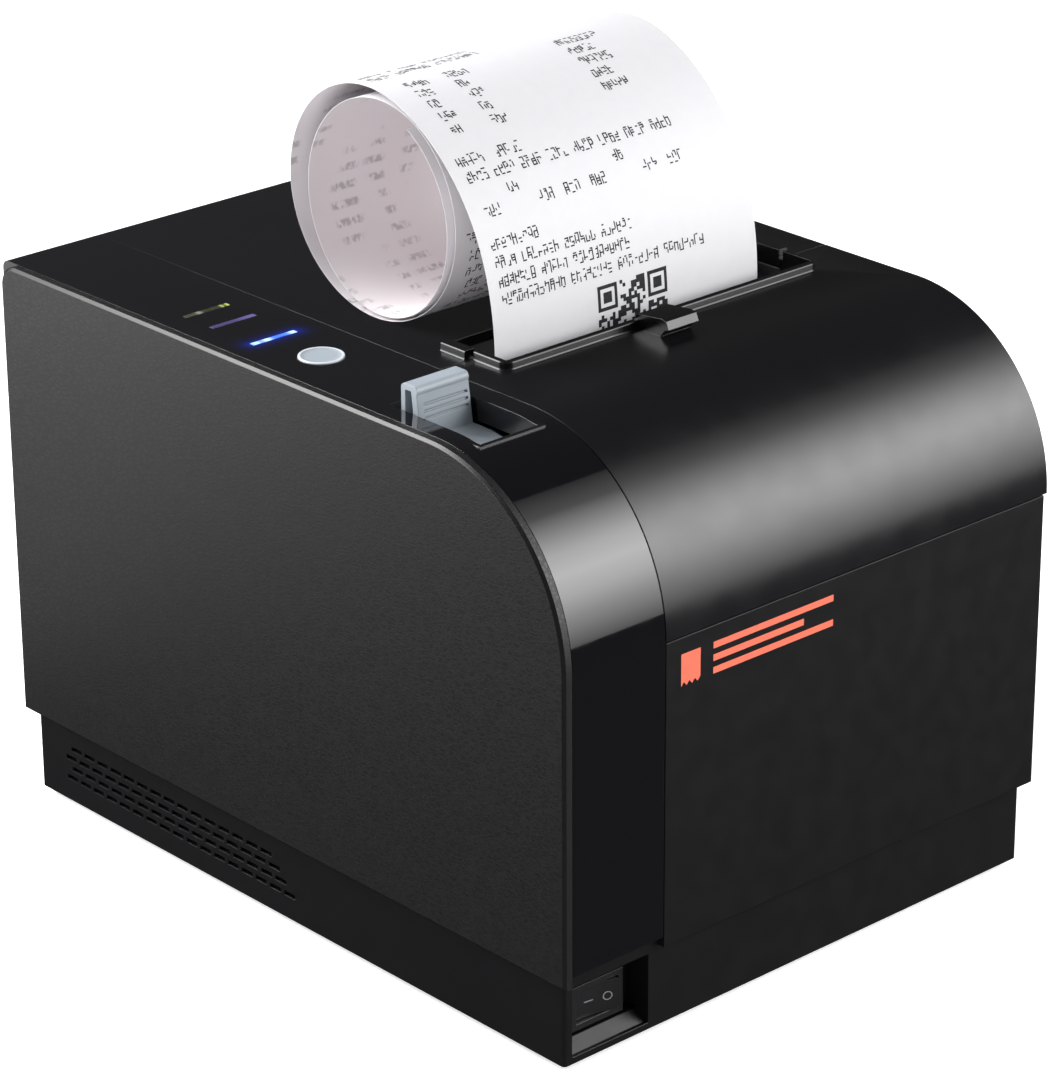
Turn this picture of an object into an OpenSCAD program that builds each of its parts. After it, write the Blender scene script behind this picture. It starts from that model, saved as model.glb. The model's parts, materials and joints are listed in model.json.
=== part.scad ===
/* [Body] */
// Width over the covers
body_w = 147; // [145:1:150]
// Depth from the front panel to the back of the roll cover
body_d = 192; // [190:1:198]
// Height of the case without its feet
body_h = 132; // [131:0.5:134]
// Height of the rubber feet
foot_h = 2; // [1.5:0.5:4]
// Radius of the curved front top edge
arc_r = 41.2; // [40:0.2:42]
// Height of the lower housing
base_h = 19.4; // [19:0.1:19.6]
// Wall thickness of the covers
wall = 2.4; // [2:0.1:2.6]

/* [Control strip] */
// Width of the glossy strip and the side panel together
strip_x = 28.6; // [28:0.1:28.6]
// Thickness of the side panels
side_t = 2.3; // [2:0.1:2.6]
// Diameter of the feed button
button_d = 10.4; // [8:0.2:12]
// Travel of the feed button
button_travel = 1; // [0.5:0.1:1]

/* [Paper] */
// Width of the receipt paper
paper_w = 79.5; // [76:0.5:80]
// Left edge of the paper
paper_x = 39.5; // [39.5:0.1:40]
// Radius of a full roll of paper
roll_r = 38; // [20:1:40]
// Modelled thickness of the paper
paper_t = 0.2; // [0.1:0.05:0.2]

/* [Printing unit] */
// Radius of the platen roller
platen_r = 7; // [6.5:0.1:7]
// Gear module of the feed train
gear_mod = 0.75; // [0.75:0.05:0.75]
// Travel of the cutter blade
cut_travel = 6; // [2:0.5:6]

/* [Hidden] */
$fn = 96;
gap = 0.3;
arc_z = body_h - arc_r;
// Seam between the curved cover and the flat front panel
front_seam_z = 91.1;
// Lower edge of the glossy strip
strip_z = 22.3;
// Seam between the cutter cover and the roll cover
top_seam_y = 70;
cover_x0 = strip_x + gap;
right_x = body_w - 1;
side_rear_y = body_d - 2;
panel_rear_y = body_d - 4;
// Paper exit opening and the raised rim round it
exit_x0 = 39.2;
exit_x1 = 132.4;
exit_y0 = 60.4;
exit_y1 = 81;
rim_w = 1.4;
rear_rim_w = 2.8;
rim_h = 2;
rim_edge_r = 0.5;
rim_fillet_r = 0.6;
rim_corner_r = 1.2;
// Ends of the rim at the seam between the two covers, and at its back
front_rim_y1 = top_seam_y - 0.6;
rear_rim_y0 = top_seam_y + 0.7;
rear_rim_y1 = exit_y1 - 2.5;
// Bottom of the walls under the paper exit
chute_z = 121.6;
// Roll cover hinge
hinge_y = body_d - 6;
hinge_z = 104;
hinge_r = 6;
pin_r = 2;
ring_r = 3.3;
// Radius of the rear top edge
edge_r = 2;
// Back of the strip's stiffening web
web_rear_y = body_d - 6.7;
// Platen and feed gears, in the plane across the paper
platen_y = 71.5;
platen_z = 104;
shaft_r = 2.5;
platen_teeth = 24;
idler_teeth = 40;
pinion_teeth = 12;
train_angle = 250;
train_x0 = 129.5;
train_x1 = 132;
idler_c = train_step([platen_y, platen_z], platen_teeth, idler_teeth);
motor_c = train_step(idler_c, idler_teeth, pinion_teeth);
axle_r = 2;
// Side plates of the mechanism and what lies beside them
plate_t = 1.5;
plate_x = [30, 127];
hook_x = [32, 124.9];
hook_t = 1.6;
arm_x = [34.2, 121.8];
arm_t = 2.5;
bush_x = [30.2, 121.8];
bush_l = 6.5;
bush_r = 4;
// Front of whatever swings up past the seam outside the paper exit
swing_y = 68.6;
// Release lever
lever_y = 50;
lever_z = 86;
lever_r = 3;
// Underside of the hooks, above the platen bushes
latch_z = platen_z + bush_r + 0.2;
well_x0 = 7.4;
well_x1 = 23.3;
well_y0 = 33.1;
well_y1 = 62;
grip_x0 = 8.2;
grip_x1 = 22.6;
tongue_r = 40;
// Paper roll
roll_y = 131;
roll_z = 74;
core_r = 8;
core_bore_r = 6.35;
bucket_r = 42;
bucket_z = roll_z + bucket_r - roll_r - 0.4;
bucket_x0 = 37.7;
bucket_x1 = 120.8;
// Unit normal of the line that the paper follows from the roll to the platen
d_roll = [platen_y - roll_y, platen_z - roll_z];
web_platen_r = platen_r + 0.1;
web_roll_r = roll_r + 0.2;
web_angle = atan2(d_roll[1], d_roll[0]) + acos((web_roll_r - web_platen_r) / norm(d_roll));
web_n = polar(1, web_angle);
// Cutter
blade_z = 119.6;
blade_t = 1;
web_top_z = 119.3;
receipt_z = 120.9;
cutter_pinion_x = 104;
cutter_pinion_y = 38;
pinion_r = pinion_teeth * gear_mod / 2;
// Receipt curl
curl_r = 27;
curl_y = 106.6;
curl_z = 160.2;
// Power switch
switch_x = 15.05;
switch_z = 9.85;
switch_y = 6;
rocker_y = 8;
rocker_tilt = 10;
// Boards
board_z = 6;
board_t = 1.6;
panel_board_z = 121;
button_x = 15.5;
button_y = 93.7;
plunger_z = 124.2;
light_y = [133, 123.6, 109.4];
light_x0 = 9;
light_x1 = 21.2;
light_w = 1.3;
port_y0 = 168;
port_z0 = board_z + board_t;
ribbon_z = port_z0 + 0.1;

// ---- helpers ----
function train_step(from, teeth_a, teeth_b) =
    from + gear_mod * (teeth_a + teeth_b) / 2 * [cos(train_angle), sin(train_angle)];
function inv(a) = tan(a) * 180 / PI - a;
function polar(r, a) = [r * cos(a), r * sin(a)];

// Puts parts drawn from the lower front left corner into the row frame
module place() {
    translate([-body_w / 2, -body_d / 2, foot_h]) children();
}

// Extrudes an outline drawn in depth and height across the width
module across(x0, x1) {
    translate([x0, 0, 0]) rotate([90, 0, 90]) linear_extrude(x1 - x0) children();
}

module box(from, to) {
    translate(from) cube(to - from);
}

module rod_x(x0, x1, y, z, r) {
    translate([x0, y, z]) rotate([0, 90, 0]) cylinder(h = x1 - x0, r = r);
}

module rounded_rect(x0, y0, x1, y1, r) {
    translate([x0 + r, y0]) square([x1 - x0 - 2 * r, y1 - y0]);
    translate([x0, y0 + r]) square([x1 - x0, y1 - y0 - 2 * r]);
    for (x = [x0 + r, x1 - r], y = [y0 + r, y1 - r]) translate([x, y]) circle(r = r);
}

// Side outline of the case, shrunk all round by inset
module case_outline(inset, z_low, y_rear, rear_r = 4) {
    top = body_h - inset;
    r_in = max(rear_r - inset, 0.5);
    translate([inset, z_low]) square([y_rear - inset - inset, arc_z - z_low]);
    translate([arc_r, z_low]) square([y_rear - inset - r_in - arc_r, top - z_low]);
    translate([arc_r, z_low]) square([y_rear - inset - arc_r, top - r_in - z_low]);
    translate([y_rear - inset - r_in, top - r_in]) circle(r = r_in);
    translate([arc_r, arc_z]) circle(r = arc_r - inset);
}

// The shell of the curved front and flat top, from outer_inset in by its thickness
module cover_outline(y0, y1, z0, outer_inset, thick) {
    intersection() {
        difference() {
            case_outline(outer_inset, 0, body_d + 20);
            case_outline(outer_inset + thick, -1, body_d + 20);
        }
        translate([y0, z0]) square([y1 - y0, body_h]);
    }
}

// Outline of the rear skirt and the rounded edge above it
module rear_corner(z_low) {
    translate([body_d - edge_r, body_h - edge_r]) intersection() {
        circle(r = edge_r);
        square(edge_r + 1);
    }
    translate([body_d - wall, z_low]) square([wall, body_h - z_low - edge_r]);
}

// Involute gear outline with stub teeth; teeth point along angle 0
module gear_outline(teeth, slack = 0.1) {
    pitch_r = gear_mod * teeth / 2;
    base_r = pitch_r * cos(20);
    tip_r = pitch_r + 0.7 * gear_mod;
    root_r = pitch_r - 1.05 * gear_mod;
    low_r = max(base_r, root_r);
    half = 90 / teeth - slack / pitch_r * 90 / PI;
    steps = 4;
    radii = [for (k = [0:steps]) low_r + (tip_r - low_r) * k / steps];
    turn = [for (r = radii) half + inv(20) - inv(acos(base_r / r))];
    polygon([for (i = [0:teeth - 1]) let (a = i * 360 / teeth) each concat(
        [polar(root_r, a - turn[0])],
        [for (k = [0:steps]) polar(radii[k], a - turn[k])],
        [for (k = [steps:-1:0]) polar(radii[k], a + turn[k])],
        [polar(root_r, a + turn[0])])]);
}

// Staggered rows of short slots through the side wall of the lower housing
module vent_rows() {
    pitch = 5.06;
    rows = [[99.2, 15, 13.9], [96.3, 16, 11.3], [94.1, 16, 8.7], [91.1, 17, 6.1]];
    for (row = rows, k = [0:row[1] - 1])
        translate([0, row[0] + k * pitch, row[2] - 0.55]) cube([body_w, 3.9, 1.1]);
}

// ---- case ----
module base_housing() {
    x0 = 1.8;
    x1 = right_x - 1.8;
    y0 = 2.1;
    y1 = panel_rear_y - 1.5;
    color("#131315") place() {
        base_shell(x0, x1, y0, y1);
        // Sloping floor of the switch recess
        across(4, 26.4) polygon([[y0 + 0.2, 1.5], [3, 1.6], [5.8, 3.95], [9.2, 3.95], [9.2, 1.5]]);
    }
}

module base_shell(x0, x1, y0, y1) {
    difference() {
        union() {
            difference() {
                linear_extrude(base_h) rounded_rect(x0, y0, x1, y1, 0.9);
                translate([0, 0, 2])
                    linear_extrude(base_h) rounded_rect(x0 + 2.2, y0 + 2.2, x1 - 2.2, y1 - 2.2, 1.2);
            }
            // Boss that carries the switch, with the front wall raised to the strip
            box([x0 + 1, y0 + 0.4, 0], [29, 11.2, base_h]);
            intersection() {
                linear_extrude(strip_z - 0.2) rounded_rect(x0, y0, x1, y1, 0.9);
                box([side_t + 0.2, 0, base_h - 1], [cover_x0 - 0.05, y0 + 2.3, strip_z]);
            }
            for (x = [40, 116], y = [30, 150]) translate([x, y, 1]) cylinder(h = 21.2, r = 4);
        }
        vent_cut();
        // Switch recess, open to the front over a thin floor
        box([4.1, 0, 1.6], [26.3, 9, 18.3]);
        box([switch_x - 6.8, 8, switch_z - 4.4], [switch_x + 6.8, 12, switch_z + 4.4]);
        box([x0 + 2.2, 11.2, 2], [29.2, 12, base_h + 1]);
        // Connector bay at the back
        box([16, y1 - 3, 4], [132, y1 + 1, base_h + 1]);
        // Door opening and screw holes in the floor
        box([60, 100, -1], [96, 122, 3]);
        for (x = [40, 116], y = [30, 150]) {
            translate([x, y, -1]) cylinder(h = 24, r = 1.6);
            translate([x, y, -1]) cylinder(h = 3.2, r = 3.6);
        }
    }
}

module vent_cut() {
    intersection() {
        vent_rows();
        union() {
            box([0, 0, 0], [6, body_d, base_h]);
            box([right_x - 6, 0, 0], [right_x, body_d, base_h]);
        }
    }
}

module feet() {
    color("#202022") place() for (x = [18, 128], y = [18, 168])
        translate([x, y, -foot_h]) cylinder(h = foot_h, r = 7);
}

module base_screws() {
    color("silver") place() for (x = [40, 116], y = [30, 150]) translate([x, y, 0.2]) difference() {
        union() {
            cylinder(h = 1.9, r = 3);
            cylinder(h = 12, r = 1.5);
        }
        translate([-2, -0.4, -1]) cube([4, 0.8, 1.8]);
        translate([-0.4, -2, -1]) cube([0.8, 4, 1.8]);
    }
}

module dip_switch_door() {
    color("#171719") place() difference() {
        box([60.2, 100.2, 0.2], [95.8, 121.8, 1.8]);
        for (k = [0:4]) box([72, 103 + 1.6 * k, 0], [84, 103.7 + 1.6 * k, 0.7]);
    }
}

module left_side_panel() {
    round_over = 1.9;
    color("#1c1c1f") place() hull() {
        across(0, 0.05) case_outline(round_over, base_h + 0.2 + round_over, side_rear_y, 5);
        across(0.55, 0.6) case_outline(round_over / 3, base_h + 0.2 + 0.6, side_rear_y, 5);
        across(round_over, side_t) case_outline(0, base_h + 0.2, side_rear_y, 5);
    }
}

module right_side_panel() {
    color("#1c1c1f") place() {
        across(right_x - 2.4, right_x) difference() {
            intersection() {
                case_outline(wall + gap, base_h + gap, panel_rear_y + 2 * wall);
                translate([wall + gap, base_h + gap]) square([panel_rear_y - wall - gap, body_h]);
            }
            // Room for the lower edge of the roll cover as it swings
            translate([hinge_y, hinge_z]) circle(r = hinge_r + 0.4);
        }
        box([right_x - 0.2, 2.8, 45.6], [right_x + 0.5, 6, 49.8]);
    }
}

module front_panel() {
    color("#111113") place() {
        box([cover_x0, 0, base_h + gap], [right_x, wall, front_seam_z - gap]);
        box([cover_x0 + 2, wall - 0.2, 30], [cover_x0 + 3.6, 9, 84]);
        box([right_x - 6, wall - 0.2, 30], [right_x - 4.4, 9, 84]);
    }
}

module rear_panel() {
    color("#141416") place() difference() {
        union() {
            box([side_t + gap, panel_rear_y - wall, base_h + gap], [right_x - 2.7, panel_rear_y, 97.6]);
            box([side_t + gap, panel_rear_y - wall, 90], [strip_x - gap, panel_rear_y, body_h - wall - gap]);
        }
        for (k = [0:7]) box([50 + 6 * k, panel_rear_y - 5, 30], [53 + 6 * k, panel_rear_y + 1, 46]);
    }
}

module control_strip() {
    x0 = side_t + 0.15;
    color("#0b0b0d") place() difference() {
        union() {
            across(x0, strip_x) {
                cover_outline(0, body_d - edge_r, strip_z, 0, wall);
                rear_corner(99);
            }
            // Stiffening web along the seam
            across(strip_x - 1.6, strip_x) difference() {
                case_outline(0.4, strip_z, web_rear_y + 0.4);
                case_outline(8, strip_z - 1, web_rear_y);
            }
            box([well_x0 - 1.2, well_y0 - 1.2, 126.9], [well_x1 + 1.2, well_y1 + 1.2, body_h - 0.6]);
        }
        // Lever well, button hole and light slots
        box([well_x0, well_y0, 110], [well_x1, well_y1, body_h + 1]);
        box([well_x0 - 2, well_y0 - 8, 110], [well_x1 + 2, well_y0, 126.9]);
        translate([button_x, button_y, 110]) cylinder(h = 40, r = button_d / 2 + 0.25);
        for (y = light_y)
            box([light_x0 - 0.1, y - light_w / 2 - 0.1, 110], [light_x1 + 0.1, y + light_w / 2 + 0.1, 140]);
    }
}

// Section of the rim round the paper exit, from the opening's edge outwards
module rim_section(width) {
    translate([0, -0.5]) square([width, rim_h + 0.5 - rim_edge_r]);
    square([width - rim_edge_r, rim_h]);
    translate([width - rim_edge_r, rim_h - rim_edge_r]) circle(r = rim_edge_r);
    // Fillet between the rim and the cover
    difference() {
        translate([width - 0.1, -0.5]) square([rim_fillet_r, rim_fillet_r + 0.46]);
        translate([width + rim_fillet_r, rim_fillet_r - 0.04]) circle(r = rim_fillet_r);
    }
}

// Straight stretch of the rim; its outer face is turned by that angle from the right
module rim_strip(x, y, turn, length, width) {
    translate([x, y, body_h]) rotate([90, 0, turn]) linear_extrude(length) rim_section(width);
}

module rim_corner(x, turn) {
    translate([x, exit_y0 + rim_corner_r, body_h]) rotate(turn) rotate_extrude(angle = 90)
        translate([rim_corner_r, 0]) rim_section(rim_w);
}

module cutter_cover() {
    side_l = front_rim_y1 - exit_y0 - rim_corner_r;
    corner_x = [exit_x0 + rim_corner_r, exit_x1 - rim_corner_r];
    color("#161618") place() difference() {
        union() {
            across(cover_x0, body_w) cover_outline(0, top_seam_y - 0.15, front_seam_z, 0, wall);
            // End ribs under the shell
            for (x = [cover_x0, right_x - 5]) across(x, x + 1.6) intersection() {
                difference() {
                    case_outline(0.5, 0, body_d);
                    case_outline(7, -1, body_d);
                }
                translate([0, front_seam_z + 1]) square([exit_y0 - rim_w, body_h]);
            }
            rim_strip(corner_x[1], exit_y0, 270, corner_x[1] - corner_x[0], rim_w);
            rim_strip(exit_x0, exit_y0 + rim_corner_r, 180, side_l, rim_w);
            rim_strip(exit_x1, front_rim_y1, 0, side_l, rim_w);
            rim_corner(corner_x[0], 180);
            rim_corner(corner_x[1], 270);
            box([exit_x0 - 1, exit_y0 - 1.4, chute_z], [exit_x1 + 1, top_seam_y - 0.15, body_h - 1]);
            // Finger tab in the middle of the rim
            across(77, 86.2) polygon([[49.6, body_h + 2.1], [50.4, body_h + 3.9], [52, body_h + 4.2],
                [59.4, body_h + 3.4], [60.4, body_h + 2.2], [60.4, body_h - 1], [53, body_h - 1],
                [50.8, body_h + 1.8]]);
        }
        box([exit_x0, exit_y0, chute_z - 1], [exit_x1, top_seam_y + 1, body_h + 20]);
    }
}

// ---- roll cover ----
module roll_cover() {
    color("#161618") place() difference() {
        union() {
            across(cover_x0, body_w) {
                translate([top_seam_y + 0.15, body_h - wall])
                    square([body_d - edge_r - top_seam_y - 0.15, wall]);
                rear_corner(hinge_z);
            }
            rod_x(33.4, 139.2, hinge_y, hinge_z, hinge_r);
            box([33.4, hinge_y, hinge_z], [139.2, body_d - 0.5, hinge_z + 8]);
            rim_strip(exit_x0, rear_rim_y0, 180, rear_rim_y1 - rear_rim_y0, rear_rim_w);
            rim_strip(exit_x1, rear_rim_y1, 0, rear_rim_y1 - rear_rim_y0, rear_rim_w);
        }
        // Paper exit, hinge pin bores and the open middle of the barrel
        box([exit_x0, 0, body_h - 10], [exit_x1, exit_y1, body_h + 10]);
        rod_x(30, 43, hinge_y, hinge_z, pin_r + 0.05);
        rod_x(130, 145, hinge_y, hinge_z, pin_r + 0.05);
        box([46, hinge_y - 8, hinge_z - 3.5], [127, hinge_y + 2, hinge_z + 9]);
    }
}

module blade_rib(front_y) {
    polygon([[front_y, 116.2], [front_y, 118.4], [78, 118.4], [82, 121], [84, 127.6], [87, 127.6],
        [84.4, 119], [79, 116.2]]);
}

module roll_cover_frame() {
    top = body_h - wall - 0.1;
    color("#2a2a2d") place() difference() {
        union() {
            // Arms that carry the platen
            for (x = arm_x) across(x, x + arm_t) {
                intersection() {
                    translate([platen_y, platen_z]) circle(r = 6.5);
                    translate([swing_y, 0]) square(body_h);
                }
                polygon([[swing_y, platen_z], [platen_y + 6.5, platen_z], [platen_y + 20, 116], [110, 120],
                    [110, top], [exit_y1 + 1, top], [exit_y1 - 4, 126], [platen_y - 1, 121.4],
                    [swing_y, 118]]);
            }
            // Chute behind the paper and the rib below the fixed blade
            across(arm_x[0] + 0.5, exit_x1 + 1.6)
                polygon([[69.9, 121.8], [71, 121.2], [83.2, 127.4], [110, 127.4], [110, top], [81.2, top]]);
            for (x = [exit_x0 - 1.7, exit_x1 + 0.1]) across(x, x + 1.6)
                polygon([[70.4, 121.8], [84, 127.4], [84, top], [70.4, top]]);
            across(arm_x[0] + 0.5, arm_x[1]) blade_rib(70);
            across(exit_x0 + gap, arm_x[1] + 2) blade_rib(66.8);
            // Lid over the gears, beside the paper
            box([paper_x + paper_w + 1, exit_y0 + 0.4, chute_z], [exit_x1 - gap, 72, 123]);
        }
        for (x = arm_x) rod_x(x - 1, x + arm_t + 1, platen_y, platen_z, bush_r);
    }
}

module fixed_blade() {
    color("silver") place() box([exit_x0 + gap, 65.2, 118.5], [arm_x[1] - 0.2, 76, 119.5]);
}

module hinge_brackets() {
    color("#2a2a2d") place() for (x = [29.2, 139.6]) difference() {
        union() {
            rod_x(x, x + 3.7, hinge_y, hinge_z, ring_r);
            box([x, hinge_y - 5, 84], [x + 3.7, panel_rear_y - wall - 0.1, hinge_z]);
        }
        rod_x(x - 1, x + 5, hinge_y, hinge_z, pin_r + 0.01);
        box([x - 1, panel_rear_y - wall - 0.1, 80], [x + 5, panel_rear_y + 4, 97.8]);
    }
}

module hinge_pins() {
    color("silver") place() {
        rod_x(29.2, 42, hinge_y, hinge_z, pin_r);
        rod_x(131, 143.3, hinge_y, hinge_z, pin_r);
    }
}

// ---- printing unit ----
module side_plate_outline() {
    difference() {
        polygon([[24, 22.4], [92, 22.4], [92, 60], [84, 98], [84, 112], [60, 112], [60, 108], [54, 104],
            [36, 116.6], [24, 116.6]]);
        translate([lever_y, lever_z]) circle(r = lever_r + 0.05);
        translate([platen_y - bush_r - 0.1, platen_z]) square([2 * bush_r + 1, 20]);
        translate([platen_y, platen_z]) circle(r = bush_r + 0.08);
    }
}

module mechanism_chassis() {
    color("#9a9da1") place() difference() {
        union() {
            for (x = plate_x) across(x, x + plate_t) side_plate_outline();
            box([plate_x[0], 24, 22.4], [plate_x[1] + plate_t, 92, 24]);
        }
        rod_x(120, 130, idler_c[0], idler_c[1], axle_r + 0.01);
        rod_x(120, 130, motor_c[0], motor_c[1], 6);
        for (x = [40, 116]) translate([x, 30, 10]) cylinder(h = 30, r = 1.6);
        box([60, 40, 20], [100, 80, 26]);
    }
}

module chassis_screws() {
    color("silver") place() for (x = [40, 116]) translate([x, 30, 0]) {
        translate([0, 0, 24.1]) cylinder(h = 1.8, r = 3);
        translate([0, 0, 16]) cylinder(h = 8.3, r = 1.5);
    }
}

module cutter_frame() {
    z0 = blade_z - 2.2;
    color("#8d9094") place() difference() {
        union() {
            box([36, 26, z0], [122.8, 60.5, z0 + 2]);
            box([plate_x[0], 26, z0], [plate_x[1] + plate_t, 35, z0 + 1.5]);
            // Guides beside the blade
            for (x = [36, 121]) box([x, 30, z0 + 1.8], [x + 1.8, 58, z0 + 4.6]);
        }
        translate([cutter_pinion_x, cutter_pinion_y, 100]) cylinder(h = 30, r = 1.6);
    }
}

module head_bracket() {
    color("#8d9094") place() {
        box([40, 48.4, 94], [119, 50, blade_z - 2.3]);
        box([40, 48.4, blade_z - 3.9], [119, 54, blade_z - 2.3]);
    }
}

module head_heat_sink() {
    color("#b9bcc0") place() difference() {
        box([38, 57, 92], [121, 62.4, 113.5]);
        for (x = [56, 103]) translate([x, 56, 103]) rotate([-90, 0, 0]) cylinder(h = 2.4, r = 3.4);
        for (k = [0:2]) box([62, 56, 95 + 5 * k], [97, 59, 97.5 + 5 * k]);
    }
}

module print_head() {
    color("#d8cfb8") place() {
        box([39, 62.45, 96], [120, 63.7, 112]);
        intersection() {
            rod_x(40, 119, 63.1, platen_z, 1);
            box([0, 63.2, 90], [body_w, 66, 120]);
        }
    }
}

module head_springs() {
    color("silver") place() for (x = [56, 103]) translate([x, 50.1, 103]) rotate([-90, 0, 0])
        difference() {
            cylinder(h = 8.2, r = 3);
            translate([0, 0, -1]) cylinder(h = 11, r = 2.2);
        }
}

module platen_shaft() {
    color("silver") place() rod_x(29, train_x1 + 1.3, platen_y, platen_z, shaft_r);
}

module platen_rubber() {
    color("#3a3a3c") place() difference() {
        rod_x(exit_x0 + 0.25, 120.5, platen_y, platen_z, platen_r);
        rod_x(37, 122, platen_y, platen_z, shaft_r);
    }
}

module platen_bushes() {
    color("#e8e6df") place() for (x = bush_x) difference() {
        rod_x(x, x + bush_l, platen_y, platen_z, bush_r - 0.01);
        rod_x(x - 1, x + bush_l + 1, platen_y, platen_z, shaft_r + 0.04);
    }
}

module train_gear(centre, teeth, bore_r, turned) {
    translate([train_x0, centre[0], centre[1]]) rotate([90, 0, 90]) linear_extrude(train_x1 - train_x0)
        difference() {
            rotate(turned) gear_outline(teeth);
            circle(r = bore_r);
        }
}

module platen_gear() {
    color("#d9d5c8") place() train_gear([platen_y, platen_z], platen_teeth, shaft_r, train_angle);
}

module idler_gear() {
    color("#d9d5c8") place() difference() {
        train_gear(idler_c, idler_teeth, axle_r + 0.04, train_angle + 180 + 180 / idler_teeth);
        for (k = [0:5]) {
            hole = idler_c + polar(9, 60 * k);
            rod_x(train_x0 - 1, train_x1 + 1, hole[0], hole[1], 2.6);
        }
    }
}

module idler_axle() {
    color("silver") place() {
        rod_x(plate_x[1], train_x1 + 0.6, idler_c[0], idler_c[1], axle_r);
        rod_x(train_x1 + 0.6, train_x1 + 1.6, idler_c[0], idler_c[1], axle_r + 1.5);
    }
}

module feed_motor() {
    half = 17.5;
    color("#6d7074") place() difference() {
        union() {
            across(101, plate_x[1] - 0.1) intersection() {
                translate([motor_c[0] - half, motor_c[1] - half]) square(2 * half);
                translate(motor_c) circle(r = 22);
            }
            rod_x(120, plate_x[1] + 0.8, motor_c[0], motor_c[1], 5.8);
        }
        rod_x(110, 130, motor_c[0], motor_c[1], axle_r + 0.05);
    }
}

module motor_shaft() {
    color("silver") place() rod_x(111, train_x1 + 1, motor_c[0], motor_c[1], axle_r);
}

module motor_pinion() {
    color("#c9a227") place() train_gear(motor_c, pinion_teeth, axle_r, train_angle + 180);
}

// ---- release lever ----
module latch_shaft() {
    color("silver") place() rod_x(9.5, plate_x[1] + plate_t + 0.6, lever_y, lever_z, lever_r);
}

module latch_hooks() {
    color("#a5a8ac") place() for (x = hook_x) across(x, x + hook_t) difference() {
        union() {
            translate([lever_y, lever_z]) circle(r = 4.4);
            polygon([[lever_y - 4, lever_z + 4], [lever_y + 5.6, lever_z - 2], [65.4, 99], [66.4, latch_z],
                [74.5, latch_z], [75.5, latch_z + 1.8], [72, 113], [62, 113]]);
        }
        translate([lever_y, lever_z]) circle(r = lever_r);
    }
}

// Curved cover of the well, round the lever's own axis, between two angles from upright
module tongue_outline(from, to) {
    steps = 16;
    turn = (to - from) / steps;
    polygon(concat(
        [for (k = [0:steps]) [lever_y, lever_z] + polar(tongue_r + 0.6, 90 + from + k * turn)],
        [for (k = [steps:-1:0]) [lever_y, lever_z] + polar(tongue_r - 0.8, 90 + from + k * turn)]));
}

module release_lever() {
    color("#96a5af") place() difference() {
        union() {
            // Finger grip, a folded wall open at its left end
            across(grip_x0, grip_x1) {
                polygon([[52.4, 125.6], [58.8, 125.6], [58.8, 136.6], [54, 136.6]]);
                translate([54.9, 136.6]) circle(r = 1.2, $fn = 48);
                translate([57.6, 136.6]) circle(r = 1.2, $fn = 48);
                translate([54.9, 136.6]) square([2.7, 1.2]);
                translate([53.9, 135]) square([4.9, 1.6]);
            }
            across(grip_x0, grip_x1) tongue_outline(-11, 48);
            across(13, 18)
                polygon([[lever_y - 4, lever_z], [lever_y + 4, lever_z], [57.5, 126], [53.5, 126]]);
            rod_x(10, 22, lever_y, lever_z, 6);
        }
        across(grip_x0 - 1, grip_x0 + 11) polygon([[54.6, 128], [57.5, 128], [57.5, 136.4], [55.6, 136.4]]);
        // Finger grooves on the front face
        for (k = [0:2]) across(grip_x0 + 1.6, grip_x1 - 0.6)
            translate([53.35 + 0.22 * k, 130.6 + 1.5 * k]) circle(r = 0.35, $fn = 24);
        rod_x(8, 24, lever_y, lever_z, lever_r);
    }
}

module lever_spring() {
    color("silver") place() difference() {
        rod_x(22.6, 28.4, lever_y, lever_z, 4.8);
        rod_x(22, 29, lever_y, lever_z, 3.5);
    }
}

// ---- cutter ----
module cutter_blade() {
    rack_x = cutter_pinion_x - pinion_r;
    pitch = PI * gear_mod;
    depth = 1.75 * gear_mod;
    color("#c8cbd0") place() {
        translate([0, 0, blade_z]) linear_extrude(blade_t) polygon([[38.2, 40], [98.5, 40], [98.5, 52],
            [120.6, 52], [120.6, 60.6], [79.4, 62.6], [38.2, 60.6]]);
        // Rack along the blade's arm; its teeth face the pinion
        translate([0, cutter_pinion_y, blade_z]) linear_extrude(3.6) {
            translate([rack_x - 5.2, -11]) square([5.2 - 1.05 * gear_mod, 12 + cut_travel]);
            for (k = [-4:2]) translate([rack_x, (k + 0.5) * pitch]) polygon([
                [-1.05 * gear_mod - 0.1, -0.78], [0.7 * gear_mod, -0.26],
                [0.7 * gear_mod, 0.26], [-1.05 * gear_mod - 0.1, 0.78]]);
        }
    }
}

module cutter_pinion() {
    color("#d9d5c8") place() translate([cutter_pinion_x, cutter_pinion_y, 0]) {
        translate([0, 0, blade_z + 0.2]) linear_extrude(3.2) rotate(180) gear_outline(pinion_teeth, 0.12);
        translate([0, 0, 108]) cylinder(h = blade_z - 107, r = 1.5);
    }
}

module cutter_motor() {
    color("#7c7f83") place() translate([cutter_pinion_x, cutter_pinion_y, 94]) difference() {
        cylinder(h = blade_z - 2.3 - 94, r = 7.5);
        translate([0, 0, 12]) cylinder(h = 30, r = 1.6);
    }
}

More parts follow.
